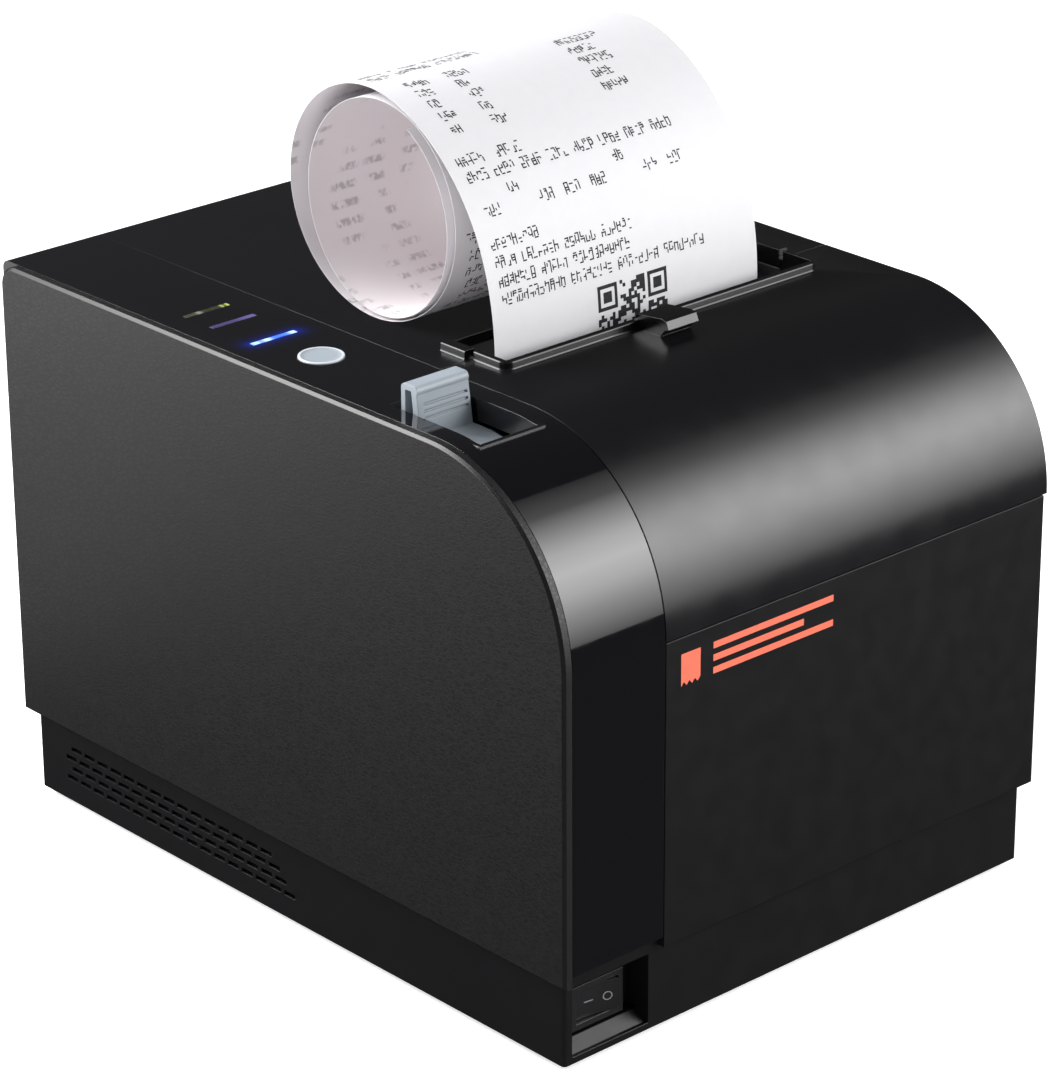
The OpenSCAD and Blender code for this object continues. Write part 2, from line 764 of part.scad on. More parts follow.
// ---- paper ----
module paper_bucket() {
    wall_t = 2;
    x0 = bucket_x0 - wall_t;
    x1 = bucket_x1 + wall_t;
    lip = [platen_y, platen_z] + (web_platen_r + 2.6) * web_n;
    low = [roll_y, bucket_z] + bucket_r * web_n;
    brim_z = 106;
    color("#1b1b1d") place() difference() {
        union() {
            across(x0, x1) {
                translate([roll_y, bucket_z]) circle(r = bucket_r + wall_t);
                polygon([low + wall_t * web_n, lip + wall_t * web_n, lip, [roll_y - 30, brim_z],
                    [roll_y, roll_z]]);
            }
            for (y = [104, 152]) box([x0, y, 22.4], [x1, y + 3, 42]);
        }
        across(bucket_x0, bucket_x1) {
            translate([roll_y, bucket_z]) circle(r = bucket_r);
            polygon([low, lip, [lip[0], body_h], [roll_y, body_h], [roll_y, roll_z]]);
            translate([roll_y, bucket_z]) square([bucket_r, body_h - bucket_z]);
        }
        across(x0 - 1, x1 + 1) {
            translate([86, brim_z]) square([body_d, body_h]);
            translate([lip[0] - 20, lip[1] - 6]) square([86 - lip[0] + 20, body_h]);
        }
    }
}

module paper_core() {
    color("#b9a88a") place() difference() {
        rod_x(paper_x, paper_x + paper_w, roll_y, roll_z, core_r);
        rod_x(paper_x - 1, paper_x + paper_w + 1, roll_y, roll_z, core_bore_r);
    }
}

module paper_roll() {
    color("#f1f2f4") place() difference() {
        rod_x(paper_x, paper_x + paper_w, roll_y, roll_z, roll_r);
        rod_x(paper_x - 1, paper_x + paper_w + 1, roll_y, roll_z, core_r);
    }
}

module paper_web() {
    steps = 12;
    leave = [roll_y, roll_z] + web_roll_r * web_n;
    wrap = [for (k = [0:steps]) web_angle + (180 - web_angle) * k / steps];
    inner = concat([leave], [for (a = wrap) [platen_y, platen_z] + polar(web_platen_r, a)],
        [[platen_y - web_platen_r, web_top_z]]);
    outer = concat([leave + paper_t * web_n],
        [for (a = wrap) [platen_y, platen_z] + polar(web_platen_r + paper_t, a)],
        [[platen_y - web_platen_r - paper_t, web_top_z]]);
    color("#f1f2f4") place() across(paper_x, paper_x + paper_w)
        polygon(concat(inner, [for (k = [len(outer) - 1:-1:0]) outer[k]]));
}

// Centre line of the curled receipt: up from the slot, then one and a bit turns of a shrinking coil
function curl_point(t) = let (a = 180 - t, r = curl_r - 2.4 * max(t - 200, 0) / 200)
    [curl_y, curl_z] + polar(r, a);

module receipt() {
    slot_y = platen_y - web_platen_r - paper_t / 2;
    start = 28;
    turns = [for (t = [start:9:start + 441]) t];
    first = curl_point(start);
    // Smooth rise from the slot into the coil
    rise = [for (k = [0:7]) let (s = k / 8) [slot_y + (first[0] - slot_y) * pow(s, 2.6),
        receipt_z + (first[1] - receipt_z) * s]];
    line = concat(rise, [for (t = turns) curl_point(t)]);
    n = len(line);
    side = [for (k = [0:n - 1]) let (d = line[min(k + 1, n - 1)] - line[max(k - 1, 0)])
        [d[1], -d[0]] / norm(d) * paper_t / 2];
    color("#f1f2f4") place() across(paper_x, paper_x + paper_w) polygon(concat(
        [for (k = [0:n - 1]) line[k] + side[k]], [for (k = [n - 1:-1:0]) line[k] - side[k]]));
}

// ---- controls ----
module feed_button() {
    color("#8fa0b0") place() translate([button_x, button_y, 0]) {
        translate([0, 0, 128]) cylinder(h = body_h - 128 + 0.25, r = button_d / 2);
        translate([0, 0, 127.4]) cylinder(h = 1.6, r = button_d / 2 + 1.2);
    }
}

module switch_plunger() {
    color("#2a2a2d") place() translate([button_x, button_y, plunger_z]) cylinder(h = 3.2, r = 1.7);
}

module feed_switch() {
    color("#4a4c50") place() difference() {
        box([button_x - 3, button_y - 3, panel_board_z + board_t], [button_x + 3, button_y + 3, 126]);
        translate([button_x, button_y, plunger_z - button_travel - 0.1]) cylinder(h = 10, r = 1.75);
    }
}

module panel_board() {
    color("#1d5a35") place() difference() {
        box([5, 84, panel_board_z], [26.4, 146, panel_board_z + board_t]);
        for (y = [88, 142]) translate([8.5, y, panel_board_z - 1]) cylinder(h = 4, r = 1.5);
    }
}

module status_light(y) {
    place() {
        z = panel_board_z + board_t + 1;
        box([light_x0, y - light_w / 2, z], [light_x1, y + light_w / 2, body_h + 0.05]);
        box([light_x0 + 3, y - 2, z], [light_x1 - 3, y + 2, body_h - wall - gap]);
    }
}

module status_light_paper() {
    color("#9fb06a") status_light(light_y[0]);
}

module status_light_error() {
    color("#6f6fd0") status_light(light_y[1]);
}

module status_light_power() {
    color("#4a8cff") status_light(light_y[2]);
}

module power_switch_body() {
    color("#101012") place() difference() {
        union() {
            box([switch_x - 7.5, switch_y, switch_z - 5.25], [switch_x + 7.5, 8.95, switch_z + 5.25]);
            box([switch_x - 6.7, 8.9, switch_z - 4.3], [switch_x + 6.7, 24, switch_z + 4.3]);
            for (k = [-1, 1]) box([switch_x + 4 * k - 0.4, 23.8, switch_z - 2.4],
                [switch_x + 4 * k + 0.4, 31, switch_z + 2.4]);
        }
        box([switch_x - 6.1, 0, switch_z - 3.8], [switch_x + 6.1, 14.5, switch_z + 3.8]);
    }
}

module power_rocker() {
    color("#151517") place() translate([switch_x, rocker_y, switch_z - 3.65]) rotate(-rocker_tilt)
        linear_extrude(7.3) polygon([[-5.6, -2], [-2.8, -1.45], [0, -1.3], [2.8, -1.45], [5.6, -2],
            [5.4, 0.8], [3.4, 4.4], [0, 5.4], [-3.4, 4.4], [-5.4, 0.8]]);
}

// ---- electronics ----
module main_board() {
    color("#1d5a35") place() difference() {
        box([10, 60, board_z], [134, 183.5, board_z + board_t]);
        for (x = [40, 116]) translate([x, 150, 0]) cylinder(h = 20, r = 4.6);
    }
}

module board_components() {
    z = board_z + board_t;
    color("#26282b") place() {
        box([60, 140, z], [78, 158, z + 1.6]);
        box([84, 134, z], [94, 146, z + 1.4]);
        for (y = [72, 86, 100]) translate([20, y, z]) cylinder(h = 9.5, r = 5);
        for (k = [0:3]) box([30, 66 + 9 * k, z], [46, 72 + 9 * k, z + 2.4]);
        box([104, 66, z], [128, 72, z + 6]);
    }
}

module dip_switch() {
    color("#b03030") place() difference() {
        box([66, 106, 2.2], [90, 115, 5.9]);
        for (k = [0:7]) box([67.4 + 2.8 * k, 108, 2], [69 + 2.8 * k, 113, 3.2]);
    }
}

module port_shell(x, w, h) {
    difference() {
        box([x, port_y0, port_z0], [x + w, panel_rear_y - 2, port_z0 + h]);
        box([x + 1, port_y0 + 4, port_z0 + 1], [x + w - 1, panel_rear_y, port_z0 + h - 1]);
    }
}

module data_ports() {
    color("#a8abb0") place() {
        // Square data socket with its tongue, and the network socket
        difference() {
            box([60, port_y0, port_z0], [72, panel_rear_y - 2, port_z0 + 10.5]);
            box([61.6, port_y0 + 8, port_z0 + 1], [70.4, panel_rear_y, port_z0 + 9.5]);
        }
        box([63.2, port_y0 + 7.9, port_z0 + 3.6], [68.8, panel_rear_y - 2.6, port_z0 + 7]);
        port_shell(80, 16, 11);
    }
}

module serial_port() {
    color("#a8abb0") place() difference() {
        union() {
            box([101, port_y0, port_z0], [126, panel_rear_y - 4, port_z0 + 11]);
            box([104, panel_rear_y - 4.1, port_z0 + 1.4], [123, panel_rear_y - 1.6, port_z0 + 9.6]);
        }
        for (k = [0:4]) translate([108 + 2.75 * k, panel_rear_y - 8, port_z0 + 7])
            rotate([-90, 0, 0]) cylinder(h = 10, r = 0.6);
        for (k = [0:3]) translate([109.4 + 2.75 * k, panel_rear_y - 8, port_z0 + 4])
            rotate([-90, 0, 0]) cylinder(h = 10, r = 0.6);
    }
}

module drawer_port() {
    color("#1c1c1f") place() port_shell(41, 14, 11);
}

module power_inlet() {
    color("#1c1c1f") place() {
        difference() {
            box([20, port_y0, port_z0], [34, panel_rear_y - 2, port_z0 + 11]);
            translate([27, panel_rear_y - 12, port_z0 + 5.5]) rotate([-90, 0, 0]) cylinder(h = 20, r = 4.6);
        }
        for (a = [-90, 30, 150]) translate([27, 0, port_z0 + 5.5] + [2.2 * cos(a), 0, 2.2 * sin(a)])
            translate([0, panel_rear_y - 12.1, 0]) rotate([-90, 0, 0]) cylinder(h = 8, r = 0.7);
    }
}

module head_ribbon() {
    color("#d8d8d2") place() across(62, 98) polygon([[58.6, 92], [58.6, 88], [57, 87], [57, 30], [62, 16],
        [86, 13], [92, ribbon_z], [92.3, ribbon_z], [86.2, 13.3], [62.3, 16.3], [57.3, 30.2], [57.3, 86.8],
        [58.9, 87.8], [58.9, 92]]);
}

base_housing();
feet();
base_screws();
dip_switch_door();
left_side_panel();
right_side_panel();
front_panel();
rear_panel();
control_strip();
cutter_cover();
roll_cover();
roll_cover_frame();
fixed_blade();
hinge_brackets();
hinge_pins();
mechanism_chassis();
chassis_screws();
cutter_frame();
head_bracket();
print_head();
head_heat_sink();
head_springs();
platen_shaft();
platen_rubber();
platen_bushes();
platen_gear();
idler_gear();
idler_axle();
feed_motor();
motor_shaft();
motor_pinion();
latch_shaft();
latch_hooks();
release_lever();
lever_spring();
cutter_blade();
cutter_pinion();
cutter_motor();
paper_bucket();
paper_roll();
paper_core();
paper_web();
receipt();
feed_button();
switch_plunger();
feed_switch();
panel_board();
status_light_paper();
status_light_error();
status_light_power();
power_switch_body();
power_rocker();
main_board();
board_components();
dip_switch();
data_ports();
serial_port();
drawer_port();
power_inlet();
head_ribbon();
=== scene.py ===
import bisect
import json
import math
import random

import bmesh
import bpy
from mathutils import Matrix, Vector


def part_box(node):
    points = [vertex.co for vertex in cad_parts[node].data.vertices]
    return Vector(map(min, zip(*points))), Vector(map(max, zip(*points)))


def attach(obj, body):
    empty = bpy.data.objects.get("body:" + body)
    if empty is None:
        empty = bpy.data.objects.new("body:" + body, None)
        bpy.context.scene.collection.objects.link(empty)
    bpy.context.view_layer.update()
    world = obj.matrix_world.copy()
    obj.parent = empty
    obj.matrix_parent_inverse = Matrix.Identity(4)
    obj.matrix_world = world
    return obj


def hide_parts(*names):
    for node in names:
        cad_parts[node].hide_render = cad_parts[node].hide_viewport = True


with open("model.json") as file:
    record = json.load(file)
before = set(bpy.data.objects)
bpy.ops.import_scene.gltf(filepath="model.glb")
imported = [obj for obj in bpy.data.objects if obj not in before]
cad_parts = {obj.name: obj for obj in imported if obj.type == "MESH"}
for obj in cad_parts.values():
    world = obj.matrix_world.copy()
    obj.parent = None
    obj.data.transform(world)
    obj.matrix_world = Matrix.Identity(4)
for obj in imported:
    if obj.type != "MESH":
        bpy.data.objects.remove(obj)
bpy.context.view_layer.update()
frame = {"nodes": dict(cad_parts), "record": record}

# ---------------------------------------------------------------- places
MM = 0.001
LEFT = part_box("left_side_panel")[0].x
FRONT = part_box("front_panel")[0].y
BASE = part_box("base_housing")[0].z
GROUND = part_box("feet")[0].z
SLOT = {row["node"]: row["material_slot"] for row in frame["record"]["subparts"]}


def at(x, y, z):
    """A place in millimetres from the case's front lower left corner, as a point of the frame."""
    return Vector((LEFT + x * MM, FRONT + y * MM, BASE + z * MM))


def middle(node):
    low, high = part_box(node)
    return (low + high) / 2


# ---------------------------------------------------------------- node materials
class Paint:
    """A node material. Its textures run in the object's own space, in metres."""

    def __init__(self, name, colour, rough=0.5, metal=0.0, coat=0.0, specular=0.5):
        self.material = bpy.data.materials.new(name)
        self.material.use_nodes = True
        self.tree = self.material.node_tree
        self.shader = self.tree.nodes["Principled BSDF"]
        self.colour = (*colour, 1.0)
        self.put("Base Color", self.colour)
        self.put("Roughness", rough)
        self.put("Metallic", metal)
        self.put("Coat Weight", coat)
        self.put("Coat Roughness", 0.04)
        self.put("Specular IOR Level", specular)
        self.put("IOR", 1.5)
        self.space = self.node("ShaderNodeTexCoord").outputs["Object"]
        self.normal = None

    def node(self, kind, **settings):
        made = self.tree.nodes.new(kind)
        for key, value in settings.items():
            setattr(made, key, value)
        return made

    def feed(self, value, socket):
        """Links a socket's value, or sets a plain one."""
        if isinstance(value, bpy.types.NodeSocket):
            self.tree.links.new(value, socket)
        else:
            socket.default_value = value

    def put(self, name, value):
        self.feed(value, self.shader.inputs[name])

    def stretched(self, stretch):
        scaled = self.node("ShaderNodeVectorMath", operation="MULTIPLY")
        self.feed(self.space, scaled.inputs[0])
        self.feed(stretch, scaled.inputs[1])
        return scaled.outputs[0]

    def noise(self, size, detail=2.0, stretch=(1, 1, 1)):
        """Soft noise with features of about that size, in metres."""
        made = self.node("ShaderNodeTexNoise")
        self.feed(self.stretched(stretch), made.inputs["Vector"])
        self.feed(1 / size, made.inputs["Scale"])
        self.feed(detail, made.inputs["Detail"])
        return made.outputs[0]

    def cells(self, size, feature="F1", stretch=(1, 1, 1), output="Distance"):
        made = self.node("ShaderNodeTexVoronoi", feature=feature)
        self.feed(self.stretched(stretch), made.inputs["Vector"])
        self.feed(1 / size, made.inputs["Scale"])
        return made.outputs[output]

    def axis(self, name):
        split = self.node("ShaderNodeSeparateXYZ")
        self.feed(self.space, split.inputs[0])
        return split.outputs[name]

    def maths(self, operation, first, second=0.0, clamp=False):
        made = self.node("ShaderNodeMath", operation=operation, use_clamp=clamp)
        self.feed(first, made.inputs[0])
        self.feed(second, made.inputs[1])
        return made.outputs[0]

    def span(self, value, low, high, to_low=0.0, to_high=1.0):
        """Maps low..high to to_low..to_high, and stops at the ends."""
        made = self.node("ShaderNodeMapRange", interpolation_type="SMOOTHSTEP")
        for socket, number in zip(made.inputs, (value, low, high, to_low, to_high)):
            self.feed(number, socket)
        return made.outputs[0]

    def tint(self, factor, first, second):
        made = self.node("ShaderNodeMix", data_type="RGBA")
        self.feed(factor, made.inputs[0])
        for socket, colour in ((6, first), (7, second)):
            value = colour if isinstance(colour, bpy.types.NodeSocket) else (*colour[:3], 1.0)
            self.feed(value, made.inputs[socket])
        return made.outputs[2]

    def shade(self, factor, darker, lighter):
        """The base colour varied from darker to lighter times itself."""
        dark = [c * darker for c in self.colour[:3]]
        light = [c * lighter for c in self.colour[:3]]
        self.put("Base Color", self.tint(factor, dark, light))

    def bump(self, height, depth, strength=1.0):
        """Adds relief of that depth, in metres, over whatever relief is there."""
        made = self.node("ShaderNodeBump")
        self.feed(strength, made.inputs["Strength"])
        self.feed(depth, made.inputs["Distance"])
        self.feed(height, made.inputs["Height"])
        if self.normal is not None:
            self.feed(self.normal, made.inputs["Normal"])
        self.normal = made.outputs["Normal"]
        self.put("Normal", self.normal)

    def round_edges(self, radius):
        """Shades sharp edges as if they had that radius, as moulded and broken edges have."""
        made = self.node("ShaderNodeBevel", samples=4)
        self.feed(radius, made.inputs["Radius"])
        self.normal = made.outputs["Normal"]
        self.put("Normal", self.normal)

    def ring_height(self, centre, pitch):
        """Waves of that pitch round a line through centre, along X."""
        squares = []
        for name in "YZ":
            offset = self.maths("SUBTRACT", self.axis(name), getattr(centre, name.lower()))
            squares.append(self.maths("MULTIPLY", offset, offset))
        radius = self.maths("SQRT", self.maths("ADD", *squares))
        return self.maths("SINE", self.maths("MULTIPLY", radius, math.tau / pitch))


def record_colour(slot):
    return next(m["base_color"] for m in frame["record"]["materials"] if m["slot"] == slot)


def moulded(slot, rough, grain=0.00035, depth=0.000012):
    """Moulded plastic: fine spark-eroded grain, a soft edge and a faint variation in gloss."""
    paint = Paint(slot, record_colour(slot), rough)
    paint.round_edges(0.0003)
    paint.bump(paint.noise(grain, 3.0), depth)
    paint.shade(paint.noise(0.02, 3.0), 0.85, 1.15)
    paint.put("Roughness", paint.span(paint.noise(0.006, 4.0), 0.3, 0.7, rough * 0.93, rough * 1.07))
    return paint


def panel_edge(slot):
    """The side panels' bevel: the same plastic, polished where the grain stops."""
    paint = Paint("side_edge", record_colour(slot), 0.38)
    paint.bump(paint.noise(0.0006, 3.0, (1, 0.3, 1)), 0.000008)
    paint.shade(paint.noise(0.003, 3.0), 0.9, 1.1)
    return paint


def leather_plastic(slot):
    """Side panels: small rounded cells with creases between them, on low-gloss plastic."""
    paint = Paint(slot, record_colour(slot), 0.42)
    creases = paint.cells(0.0012, "DISTANCE_TO_EDGE", (1, 0.5, 1.2))
    cells = paint.span(creases, 0.0, 0.3)
    paint.bump(cells, 0.000015, 0.6)
    paint.bump(paint.noise(0.0003, 4.0, (1, 0.55, 1)), 0.00005, 0.9)
    paint.shade(paint.noise(0.004, 4.0), 0.8, 1.2)
    paint.put("Roughness", paint.span(cells, 0.0, 1.0, 0.5, 0.4))
    return paint


def satin_cover(slot):
    """Curved covers: a very fine grain that spreads the highlight a little."""
    paint = Paint(slot, record_colour(slot), 0.24)
    paint.round_edges(0.00015)
    paint.bump(paint.noise(0.00028, 2.0), 0.000005)
    paint.shade(paint.noise(0.03, 3.0), 0.85, 1.15)
    paint.put("Roughness", paint.span(paint.noise(0.008, 4.0), 0.3, 0.7, 0.22, 0.27))
    return paint


def painted_lamp_glow(paint, node, reach, strength):
    """Painted light round a light bar: a glow painted on the surface, fading over reach."""
    low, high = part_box(node)
    dx = paint.maths("ABSOLUTE", paint.maths("SUBTRACT", paint.axis("X"), (low.x + high.x) / 2))
    past = paint.maths("MAXIMUM", paint.maths("SUBTRACT", dx, (high.x - low.x) / 2), 0.0)
    dy = paint.maths("SUBTRACT", paint.axis("Y"), (low.y + high.y) / 2)
    squares = paint.maths("ADD", paint.maths("MULTIPLY", past, past), paint.maths("MULTIPLY", dy, dy))
    fall = paint.maths("EXPONENT", paint.maths("MULTIPLY", paint.maths("SQRT", squares), -1 / reach))
    on_top = paint.span(paint.axis("Z"), high.z - 0.0006, high.z - 0.0002)
    return paint.maths("MULTIPLY", paint.maths("MULTIPLY", fall, on_top), strength)


def glossy_strip(slot):
    """Control strip: polished, faintly wavy plastic, with painted blue light round the blue light bar.
    """
    paint = Paint(slot, record_colour(slot), 0.06, coat=0.3)
    paint.round_edges(0.00018)
    paint.bump(paint.noise(0.012, 1.0), 0.000008)
    paint.bump(paint.noise(0.0005, 2.0), 0.0000006)
    paint.put("Roughness", paint.span(paint.noise(0.004, 5.0), 0.35, 0.75, 0.05, 0.09))
    # Painted light: the strip's own blue emission stands in for the light bar's light falling on it.
    glow = painted_lamp_glow(paint, "status_light_power", 0.0011, 0.5)
    paint.put("Emission Color", (0.02, 0.06, 1.0, 1.0))
    paint.put("Emission Strength", glow)
    return paint


def rubber(slot):
    """Feet: dull rubber with shallow pits."""
    paint = Paint(slot, record_colour(slot), 0.8, specular=0.3)
    paint.round_edges(0.0003)
    paint.bump(paint.noise(0.0008, 4.0), 0.00004)
    paint.shade(paint.noise(0.003, 5.0), 0.7, 1.3)
    return paint


def ground_roller(slot):
    """Platen rubber: ground round its axis, with fine rings along its length."""
    paint = Paint(slot, record_colour(slot), 0.6, specular=0.3)
    paint.round_edges(0.0002)
    paint.bump(paint.noise(0.00035, 3.0, (1, 0.1, 0.1)), 0.00002)
    paint.shade(paint.noise(0.002, 4.0, (2, 0.3, 0.3)), 0.75, 1.25)
    return paint


def sheet_metal(slot):
    """Zinc-coated sheet: faint crystals in the coating and rolling marks along it."""
    rough = 0.38
    paint = Paint(slot, record_colour(slot), rough, metal=1.0)
    paint.round_edges(0.00025)
    crystals = paint.cells(0.0045, output="Color")
    paint.shade(paint.span(crystals, 0.1, 0.9), 0.8, 1.1)
    paint.bump(paint.noise(0.0006, 3.0, (0.08, 1, 1)), 0.000006)
    paint.put("Roughness", paint.span(crystals, 0.0, 1.0, rough * 0.8, rough * 1.25))
    return paint


def turned_metal(slot, rough=0.22):
    """Turned shafts: tool marks round the axis along X."""
    paint = Paint(slot, record_colour(slot), rough, metal=1.0)
    paint.round_edges(0.0002)
    paint.bump(paint.noise(0.0004, 2.0, (1.0, 0.02, 0.02)), 0.000006)
    paint.shade(paint.noise(0.004, 4.0), 0.85, 1.08)
    paint.put("Roughness", paint.span(paint.noise(0.0012, 3.0, (1, 0.05, 0.05)), 0.3, 0.7, 0.15, 0.32))
    return paint


def plated_screws(slot):
    """Screws: bright plating, a little uneven."""
    paint = Paint(slot, record_colour(slot), 0.3, metal=1.0)
    paint.round_edges(0.0003)
    paint.shade(paint.noise(0.0015, 4.0), 0.7, 1.1)
    paint.bump(paint.noise(0.0004, 3.0), 0.000008)
    return paint


def ground_steel(slot):
    """Blades: grinding marks square to the edge, bright and sharp."""
    paint = Paint(slot, record_colour(slot), 0.2, metal=1.0)
    paint.round_edges(0.00008)
    marks = paint.noise(0.00025, 2.0, (1, 0.03, 0.03))
    paint.bump(marks, 0.000004)
    paint.put("Roughness", paint.span(marks, 0.3, 0.7, 0.14, 0.3))
    paint.shade(paint.noise(0.01, 3.0), 0.9, 1.05)
    return paint


def extruded_aluminium(slot):
    """The head's heat sink: die lines along it."""
    paint = Paint(slot, record_colour(slot), 0.4, metal=1.0)
    paint.round_edges(0.0002)
    lines = paint.noise(0.0003, 2.0, (0.02, 1, 1))
    paint.bump(lines, 0.000008)
    paint.put("Roughness", paint.span(lines, 0.3, 0.7, 0.3, 0.5))
    paint.shade(paint.noise(0.008, 3.0), 0.9, 1.05)
    return paint


def glazed_head(slot):
    """Print head: a glazed ceramic strip with the dark heater line along it."""
    paint = Paint(slot, record_colour(slot), 0.15)
    low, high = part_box("print_head")
    line = paint.maths("ABSOLUTE", paint.maths("SUBTRACT", paint.axis("Z"), (low.z + high.z) / 2))
    glaze = paint.span(line, 0.0004, 0.0009)
    paint.put("Base Color", paint.tint(glaze, (0.03, 0.02, 0.02), paint.colour))
    paint.bump(paint.noise(0.002, 2.0), 0.00001)
    return paint


def acetal(slot):
    """Natural acetal: slightly see-through, waxy and smooth."""
    paint = Paint(slot, record_colour(slot), 0.35)
    paint.put("Subsurface Weight", 0.15)
    paint.put("Subsurface Scale", 0.001)
    paint.round_edges(0.00015)
    paint.shade(paint.noise(0.002, 3.0), 0.93, 1.03)
    paint.bump(paint.noise(0.0005, 2.0), 0.000006)
    return paint


def machined_brass(slot):
    """Pinions: turned brass with tool marks and a little tarnish."""
    paint = Paint(slot, record_colour(slot), 0.25, metal=1.0)
    paint.round_edges(0.0001)
    paint.bump(paint.noise(0.0003, 2.0, (0.1, 1, 1)), 0.000005)
    paint.shade(paint.noise(0.0015, 4.0), 0.7, 1.1)
    return paint


def motor_case(slot):
    """Motor cans: satin zinc plate with a few darker handling marks."""
    paint = Paint(slot, record_colour(slot), 0.35, metal=0.8)
    paint.round_edges(0.0003)
    paint.shade(paint.noise(0.006, 5.0), 0.7, 1.3)
    paint.bump(paint.noise(0.0003, 2.0, (1, 0.2, 0.2)), 0.000006)
    return paint


def satin_grey(slot):
    """The lever and the button: smooth satin plastic."""
    paint = Paint(slot, record_colour(slot), 0.4)
    paint.round_edges(0.0003)
    paint.bump(paint.noise(0.0003, 2.0), 0.000008)
    paint.shade(paint.noise(0.005, 3.0), 0.94, 1.06)
    return paint


def coated_paper(name, colour, ghost=0.0):
    """Thermal paper: faint fibre clouds and a dull coat, with blurred print that shows through."""
    paint = Paint(name, colour, 0.55, specular=0.3)
    clouds = paint.noise(0.0025, 5.0)
    paint.shade(clouds, 0.965, 1.02)
    paint.bump(paint.noise(0.0004, 4.0), 0.000012)
    if ghost:
        paint.space = paint.node("ShaderNodeUVMap", uv_map="sheet").outputs["UV"]
        lines = paint.maths("SINE", paint.maths("MULTIPLY", paint.axis("Y"), math.tau / 0.0041))
        words = paint.span(paint.noise(0.009, 1.0, (1, 0.35, 1)), 0.5, 0.62)
        letters = paint.span(paint.noise(0.0011, 1.0, (1, 0.6, 1)), 0.35, 0.6)
        printed = paint.maths("MULTIPLY", words, letters)
        mark = paint.maths("MULTIPLY", paint.span(lines, -0.2, 0.7), printed)
        share = paint.maths("MULTIPLY", mark, ghost)
        inked = [c * 0.55 for c in colour]
        paint.put("Base Color", paint.tint(share, colour, inked))
    return paint


def wound_paper(name):
    """The supply roll: rings of wound edge on its ends, plain paper round it."""
    paint = Paint(name, record_colour("paper"), 0.6, specular=0.2)
    rings = paint.ring_height(middle("paper_core"), 0.0009)
    uneven = paint.maths("ADD", rings, paint.maths("MULTIPLY", paint.noise(0.001, 3.0), 1.5))
    low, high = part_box("paper_roll")
    end = paint.maths("ABSOLUTE", paint.maths("SUBTRACT", paint.axis("X"), (low.x + high.x) / 2))
    on_end = paint.span(end, (high.x - low.x) / 2 - 0.0004, (high.x - low.x) / 2 - 0.0001)
    paint.bump(paint.maths("MULTIPLY", uneven, on_end), 0.00004)
    paint.shade(paint.span(uneven, -1.0, 2.5), 0.9, 1.0)
    return paint


def card(slot):
    """The roll's core: dull card with fibres along it."""
    paint = Paint(slot, record_colour(slot), 0.85, specular=0.2)
    paint.shade(paint.noise(0.0006, 5.0, (0.3, 1, 1)), 0.75, 1.2)
    paint.bump(paint.noise(0.0005, 4.0, (0.3, 1, 1)), 0.00003)
    return paint


def solder_mask(slot):
    """Boards: green mask over copper tracks, with bare pads here and there."""
    paint = Paint(slot, record_colour(slot), 0.28)
    tracks = paint.span(paint.cells(0.0045, "DISTANCE_TO_EDGE", (1, 1, 0)), 0.03, 0.07)
    paint.put("Base Color", paint.tint(tracks, (0.04, 0.2, 0.09), paint.colour))
    paint.bump(tracks, -0.00003)
    paint.put("Roughness", paint.span(paint.noise(0.002, 3.0), 0.3, 0.7, 0.2, 0.36))
    return paint


def dark_packages(slot):
    """Chips and sockets: dull black moulding with fine grain."""
    paint = Paint(slot, record_colour(slot), 0.5)
    paint.round_edges(0.00025)
    paint.bump(paint.noise(0.0003, 3.0), 0.00001)
    paint.shade(paint.noise(0.004, 3.0), 0.8, 1.3)
    return paint


def stamped_shell(slot):
    """Socket shells: bright plated sheet with press marks."""
    paint = Paint(slot, record_colour(slot), 0.25, metal=1.0)
    paint.round_edges(0.0003)
    paint.bump(paint.noise(0.0015, 3.0), 0.00001)
    paint.shade(paint.noise(0.003, 4.0), 0.8, 1.05)
    return paint


def printed_film(slot):
    """The head's ribbon: film over parallel tracks."""
    paint = Paint(slot, record_colour(slot), 0.3)
    stripes = paint.maths("SINE", paint.maths("MULTIPLY", paint.axis("X"), math.tau / 0.00125))
    paint.shade(paint.span(stripes, -0.3, 0.3), 0.6, 1.3)
    paint.bump(stripes, 0.00002)
    return paint


def light_bar(slot, node, dim, spots):
    """A light bar: clear plastic with lit spots that show through it, over a dim glow."""
    paint = Paint(slot, record_colour(slot), 0.2, coat=0.5)
    paint.round_edges(0.0001)
    low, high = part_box(node)
    along = paint.span(paint.axis("X"), low.x, high.x)
    along.node.interpolation_type = "LINEAR"
    colour = dim
    for share, width, lit, power in spots:
        off = paint.maths("SUBTRACT", along, share)
        fall = paint.maths("MULTIPLY", paint.maths("MULTIPLY", off, off), -1 / width ** 2)
        spot = paint.maths("EXPONENT", fall)
        colour = paint.tint(spot, colour, [c * power for c in lit])
    paint.put("Emission Color", colour)
    paint.put("Emission Strength", 1.0)
    paint.bump(paint.noise(0.0006, 2.0), 0.00001)
    return paint


